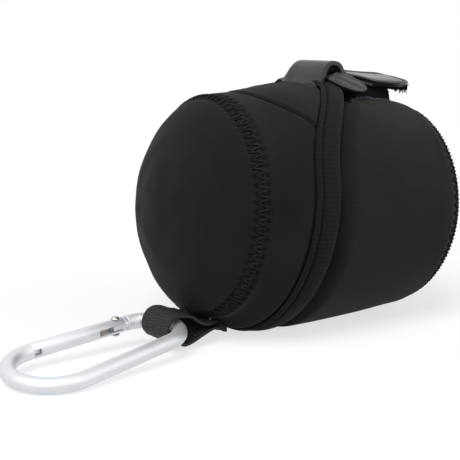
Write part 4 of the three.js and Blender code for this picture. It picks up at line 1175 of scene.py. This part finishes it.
def webbing_line():
    """Middle of the loop, seen from its side: upper strand, half turn round the rod, lower strand."""
    wrap_x = -(EYE_BEND - math.sqrt(EYE_BEND ** 2 - WEBBING_HALF ** 2))
    radius = ROD_RADIUS + WRAP_CLEARANCE + WEBBING_THICKNESS / 2
    top = webbing_seat(WEBBING_REACH, 0) - WEBBING_THICKNESS / 2
    low = top - WEBBING_THICKNESS - STRAND_GAP
    shares = [i / STRAND_STEPS for i in range(STRAND_STEPS + 1)]
    upper = [(mix(wrap_x, STRAND_END, 1 - s), mix(EYE.z + radius, top, ease(1 - s))) for s in shares[:-1]]
    turns = [math.pi * (0.5 + s) for s in shares]
    wrap = [(wrap_x + radius * math.cos(turn), EYE.z + radius * math.sin(turn)) for turn in turns]
    lower = [(mix(wrap_x, STRAND_END, s), mix(EYE.z - radius, low, ease(2.2 * s))) for s in shares[1:]]
    return upper + wrap + lower


def webbing_loop():
    """The webbing round the rod: both strands twist a little and curl up along their near edge."""
    line = webbing_line()
    count = len(line) - 1
    strand_rise = 1.1

    def place(u, v):
        along, z = line[int(round(u * count))]
        across = mix(gathered_edge(along), WEBBING_HALF, v)
        share = ease(along / WEBBING_REACH)
        rise = mix(across * WEBBING_LEAN, webbing_seat(along, across) - webbing_seat(along, 0), share)
        twist = ease((along - 4) / 5) * ease((WEBBING_REACH - 1 - along) / 7)
        curl = ease((along - 9) / 5) * ease((ROOT_START - along) / 4)
        if u < 0.5:
            rise += twist * 0.22 * across + curl * 0.05 * max(0.0, across + 1) ** 2
            rise += strand_rise * ease((along - 11) / 6)
        else:
            hanging = ease(-across / WEBBING_HALF) * ease((along + 2) / 3) * ease((13 - along) / 12)
            rise += (twist * 0.3 + curl * 0.12) * (across + WEBBING_HALF) - strand_rise * hanging
        edge = 0.12 * math.sin(along * 2.9) * abs(2 * v - 1) ** 8
        return level_point(*webbing_point(along + edge, across, z + rise))
    loop = cloth_grid("webbing_strip", count, 24, place, (58, 2 * WEBBING_HALF))
    thicken(loop, WEBBING_THICKNESS - 0.1, offset=0.0)
    soften(loop, 0.3, 3, 55)
    return dress(loop, "webbing_loop", "webbing", WEBBING, nodes=["webbing_loop"])


def webbing_root():
    """Both strands sewn together under the lid."""
    depth, thickness, lowest = 0.9, 2.3, 1.25

    def place(u, v):
        along = mix(ROOT_START, ROOT_START + ROOT_LENGTH, u)
        across = mix(gathered_edge(along), WEBBING_HALF, v)
        z = max(webbing_seat(along, across) - depth, lowest - AXIS_HEIGHT)
        return level_point(*webbing_point(along, across, z))
    root = cloth_grid("webbing_root_strip", 20, 24, place, (9, 2 * WEBBING_HALF))
    thicken(root, thickness, offset=0.0)
    return dress(root, "lid", "webbing", WEBBING, nodes=["webbing_root"])


def webbing_bartack():
    """Dense zigzag across the webbing that sews it to the lid."""
    points = []
    stitches = 36
    for i in range(stitches + 1):
        along = WEBBING_REACH + 3.9 + (0.8 if i % 2 else -0.8)
        across = mix(gathered_edge(along) + 0.6, 6.6, i / stitches)
        points.append(level_point(*webbing_point(along, across, webbing_seat(along, across) - 2.5)))
    tack = thread_line("bartack", points, 0.2)
    return dress(tack, "lid", "black_thread", THREAD, nodes=["webbing_bartack"])


# Carabiner

BEND_LEAN = math.asin((NOSE_BEND - EYE_BEND) / BEND_SPACING)


def limb_at(x):
    """Distance of the rod's straight limbs from the ring's long axis."""
    return mix(NOSE_BEND, EYE_BEND, (x + BEND_SPACING / 2) / BEND_SPACING) / math.cos(BEND_LEAN)


def into_ring(piece):
    """Moves a piece made in the plane of the ring to where the ring lies."""
    centre = level_point(*RING_CENTRE)
    piece.data.transform(Matrix.Translation(centre) @ RING_TURN.to_matrix().to_4x4())
    return piece


def extrude_by(x, y):
    bpy.ops.mesh.extrude_region_move(TRANSFORM_OT_translate={"value": (x * MM, y * MM, 0)})


def box_cutter(low, high):
    deselect()
    size = [b - a for a, b in zip(low, high)]
    middle = [(a + b) / 2 * MM for a, b in zip(low, high)]
    bpy.ops.mesh.primitive_cube_add(size=1, location=middle)
    cutter = named("cutter")
    cutter.data.transform(Matrix.Translation(middle) @ Matrix.Diagonal([s * MM for s in size] + [1]))
    cutter.location = (0, 0, 0)
    return cutter


def limb_cylinder(name, vertices, radius, depth, x):
    """A cylinder along the gate's limb, its middle at a place along the ring."""
    deselect()
    bpy.ops.mesh.primitive_cylinder_add(vertices=vertices, radius=radius * MM, depth=depth * MM,
                                        location=(x * MM, limb_at(x) * MM, 0),
                                        rotation=(0, math.pi / 2, -BEND_LEAN))
    cylinder = named(name)
    bpy.ops.object.transform_apply(location=True, rotation=True, scale=True)
    return cylinder


def cut(piece, cutter, operation="DIFFERENCE"):
    modify(piece, "BOOLEAN", object=cutter, operation=operation, solver="EXACT")
    bpy.data.objects.remove(cutter)
    return piece


def carabiner_rod():
    """The rod: a round section drawn round the nose, along the spine and round the eye to the pivot."""
    deselect()
    start = (NOSE_CUT - 0.3, limb_at(NOSE_CUT - 0.3))
    bpy.ops.mesh.primitive_circle_add(vertices=40, radius=ROD_RADIUS * MM, fill_type="NGON",
                                      location=(start[0] * MM, start[1] * MM, 0),
                                      rotation=(0, math.pi / 2, -BEND_LEAN))
    rod = named("carabiner_rod")
    bpy.ops.object.transform_apply(location=True, rotation=True, scale=True)
    bpy.ops.object.mode_set(mode="EDIT")
    bpy.ops.mesh.select_all(action="SELECT")
    turn = math.pi / 2 - BEND_LEAN
    nose_top = (-BEND_SPACING / 2 + NOSE_BEND * math.cos(turn), NOSE_BEND * math.sin(turn))
    eye_low = (BEND_SPACING / 2 + EYE_BEND * math.cos(turn), -EYE_BEND * math.sin(turn))
    nose_low = (nose_top[0], -nose_top[1])
    extrude_by(nose_top[0] - start[0], nose_top[1] - start[1])
    bpy.ops.mesh.spin(steps=36, angle=2 * math.pi - 2 * turn, center=(-BEND_SPACING / 2 * MM, 0, 0),
                      axis=(0, 0, -1))
    spine_steps = 6
    for _ in range(spine_steps):
        extrude_by((eye_low[0] - nose_low[0]) / spine_steps, (eye_low[1] - nose_low[1]) / spine_steps)
    bpy.ops.mesh.spin(steps=30, angle=2 * turn, center=(BEND_SPACING / 2 * MM, 0, 0), axis=(0, 0, -1))
    shoulder = PIVOT_X + 4.5
    if shoulder < eye_low[0]:
        extrude_by(shoulder - eye_low[0], limb_at(shoulder) + eye_low[1])
    return mend(rod, 1e-7)


def flat_end(low, high):
    """A flat tongue left by milling both sides of the rod's end."""
    return soften(box_cutter(low, high), 0.35, 3)


def carabiner():
    rod = carabiner_rod()
    pivot_y, nose_y = limb_at(PIVOT_X), limb_at(NOSE_X)
    plate_half, plate_wide, nose_half, nose_wide = 0.9, 2.1, 0.75, 1.5
    plate = flat_end((PIVOT_X - plate_wide, pivot_y - plate_wide, -plate_half),
                     (PIVOT_X + 5.5, pivot_y + plate_wide, plate_half))
    cut(rod, plate, "UNION")
    nose = flat_end((NOSE_CUT - 1.2, nose_y - nose_wide, -nose_half),
                    (NOSE_X + 3.4, nose_y + nose_wide, nose_half))
    cut(rod, nose, "UNION")
    soften(rod, 0.25, 3, 40)
    into_ring(rod)
    return dress(rod, "carabiner", "anodised_aluminium", ALUMINIUM, nodes=["carabiner_frame"], angle=40)


def gate():
    """The gate: a tube slotted for the pivot's plate at one end and for the nose at the other."""
    reach = PIVOT_X + 2.9 - NOSE_CUT
    middle = NOSE_CUT + reach / 2
    tube = limb_cylinder("gate_sleeve", 40, ROD_RADIUS, reach, middle)
    cut(tube, limb_cylinder("bore", 32, 1.9, reach + 2, middle))
    pivot_y, nose_y = limb_at(PIVOT_X), limb_at(NOSE_X)
    past, pivot_slot, nose_slot, pin_slot = 6, 1.2, 1.1, 1.75
    slots = [((PIVOT_X - 4.2, pivot_y - past, -pivot_slot), (PIVOT_X + past, pivot_y + past, pivot_slot)),
             ((PIVOT_X - 8.4, pivot_y - past, -pivot_slot), (PIVOT_X - 3, pivot_y, pivot_slot)),
             ((NOSE_CUT - past, nose_y - past, -nose_slot), (NOSE_CUT + 2.4, nose_y + past, nose_slot)),
             ((NOSE_CUT - past, nose_y, -nose_slot), (NOSE_X + 3.7, nose_y + past, nose_slot)),
             ((NOSE_X + 1.0, nose_y - 0.9, -pin_slot), (NOSE_X + 3.5, nose_y + past, pin_slot))]
    for low, high in slots:
        cut(tube, box_cutter(low, high))
    # The tube's end over the nose is cut aslant
    for vertex in tube.data.vertices:
        if vertex.co.x < (NOSE_CUT + 1) * MM:
            vertex.co.x -= 0.28 * vertex.co.z
    soften(tube, 0.18, 2, 40)
    into_ring(tube)
    return dress(tube, "gate", "anodised_aluminium", ALUMINIUM, nodes=["gate_tube"], angle=40)


def rivet():
    """A rivet: a pin through the tube with a domed head on each side."""
    head_radius, head_height, pin_radius = 1.55, 0.55, 0.8
    heads = []
    for side in (-1, 1):
        deselect()
        bpy.ops.mesh.primitive_uv_sphere_add(segments=28, ring_count=14, radius=head_radius * MM)
        head = named("rivet_head")
        for vertex in head.data.vertices:
            domed = max(0.0, side * vertex.co.z / MM) * head_height
            vertex.co.z = side * (ROD_RADIUS + 0.1 + domed) * MM
            vertex.co.x += PIVOT_X * MM
            vertex.co.y += limb_at(PIVOT_X) * MM
        heads.append(head)
    deselect()
    pin_length = 2 * (ROD_RADIUS + 0.3)
    bpy.ops.mesh.primitive_cylinder_add(vertices=28, radius=pin_radius * MM, depth=pin_length * MM)
    pin = named("rivet_pin")
    pin.data.transform(Matrix.Translation((PIVOT_X * MM, limb_at(PIVOT_X) * MM, 0)))
    heads.append(pin)
    piece = mend(joined("rivet", heads), 1e-6)
    into_ring(piece)
    return dress(piece, "carabiner", "steel", STEEL, nodes=["gate_rivet"], angle=40)


# Building it all

for make in (body_wall, body_end, body_seam_thread, mouth_binding, loop_patch):
    make()
loop_patch_stitching(-1, "near")
loop_patch_stitching(1, "far")
for make in (lid_band, lid_end, lid_seam_thread, lid_gusset):
    make()
gusset_stitching(1, "near")
gusset_stitching(-1, "far")
for make in (lid_binding, lid_rim_stitch, strap_loop, strap_foot_stitching, tongue_root, tongue_leaf,
             tab_neck, tab_pad, tab_stitch, hook_strip, hook_fringe, webbing_loop, webbing_root,
             webbing_bartack, carabiner, gate, rivet):
    make()

strip = hinge_tape()
smooth(strip)
strip.data.materials.append(BINDING)
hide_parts("hinge_tape")
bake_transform(strip)

for node in ("nose_pin", "gate_spring"):
    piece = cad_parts[node]
    piece.data.materials.clear()
    piece.data.materials.append(STEEL if node == "nose_pin" else SPRING_STEEL)


# Floor, light and camera

# Where a ray only looks, the floor is this share of white over its shadow; the world's light on the object
FLOOR_GLOW, WORLD_LIGHT = 0.62, 0.45

# The camera's place, and its focal length in millimetres
AZIMUTH, ELEVATION, DISTANCE, FOCAL_LENGTH = -32.4 * DEGREE, 10 * DEGREE, 400.0, 82.53
AIM = Vector((4.383, 0.0, 38.368))


def looking(owner):
    """1 where a ray comes from the camera or from a mirror-like surface, and 0 where it lights something."""
    ray = put(owner, "ShaderNodeLightPath", {}).outputs
    return put(owner, "ShaderNodeMath", {0: ray["Is Camera Ray"], 1: ray["Is Glossy Ray"]},
               operation="MAXIMUM")


def floor():
    deselect()
    bpy.ops.mesh.primitive_plane_add(size=40, location=(0, 0, -0.05 * MM))
    piece = named("floor")
    # White paper lit from all sides: it shows white, and keeps only the darker part of a shadow
    material = new_material("white_paper")
    diffuse = put(material, "ShaderNodeBsdfDiffuse", {"Color": (0.85, 0.85, 0.85, 1), "Roughness": 1.0})
    glow = put(material, "ShaderNodeEmission", {"Color": (1, 1, 1, 1), "Strength": 1.1})
    seen = put(material, "ShaderNodeMath", {0: looking(material), 1: FLOOR_GLOW}, operation="MULTIPLY")
    mixed = put(material, "ShaderNodeMixShader", {0: seen, 1: diffuse, 2: glow})
    put(material, "ShaderNodeOutputMaterial", {"Surface": mixed})
    piece.data.materials.append(material)


def studio():
    world = bpy.data.worlds.new("studio")
    bpy.context.scene.world = world
    world.use_nodes = True
    world.node_tree.nodes.clear()
    strength = put(world, "ShaderNodeMapRange",
                   {"Value": looking(world), "To Min": WORLD_LIGHT, "To Max": 1.0})
    sky = put(world, "ShaderNodeBackground", {"Color": (1, 1, 1, 1), "Strength": strength})
    put(world, "ShaderNodeOutputWorld", {"Surface": sky})


def lamp(name, place, strength, spread):
    """A far, soft lamp that shines from a place towards the middle of the pouch."""
    light = bpy.data.lights.new(name, "SUN")
    light.energy = strength
    light.angle = spread * DEGREE
    added(name, light).rotation_euler = (-Vector(place)).to_track_quat("-Z", "Y").to_euler()


def camera():
    back = Vector((math.sin(AZIMUTH) * math.cos(ELEVATION), -math.cos(AZIMUTH) * math.cos(ELEVATION),
                   math.sin(ELEVATION)))
    right = Vector((math.cos(AZIMUTH), math.sin(AZIMUTH), 0))
    data = bpy.data.cameras.new("camera")
    data.sensor_width = 36
    data.lens = FOCAL_LENGTH
    data.clip_start = 10 * MM
    piece = added("camera", data)
    turn = Matrix((right, back.cross(right), back)).transposed().to_4x4()
    piece.matrix_world = Matrix.Translation((AIM + back * DISTANCE) * MM) @ turn
    bpy.context.scene.camera = piece


floor()
studio()
lamp("key", (-0.5, -0.35, 0.8), 1.6, 35)
lamp("fill", (0.6, -0.7, 0.5), 0.5, 60)
camera()
bpy.context.scene.view_settings.view_transform = "Standard"
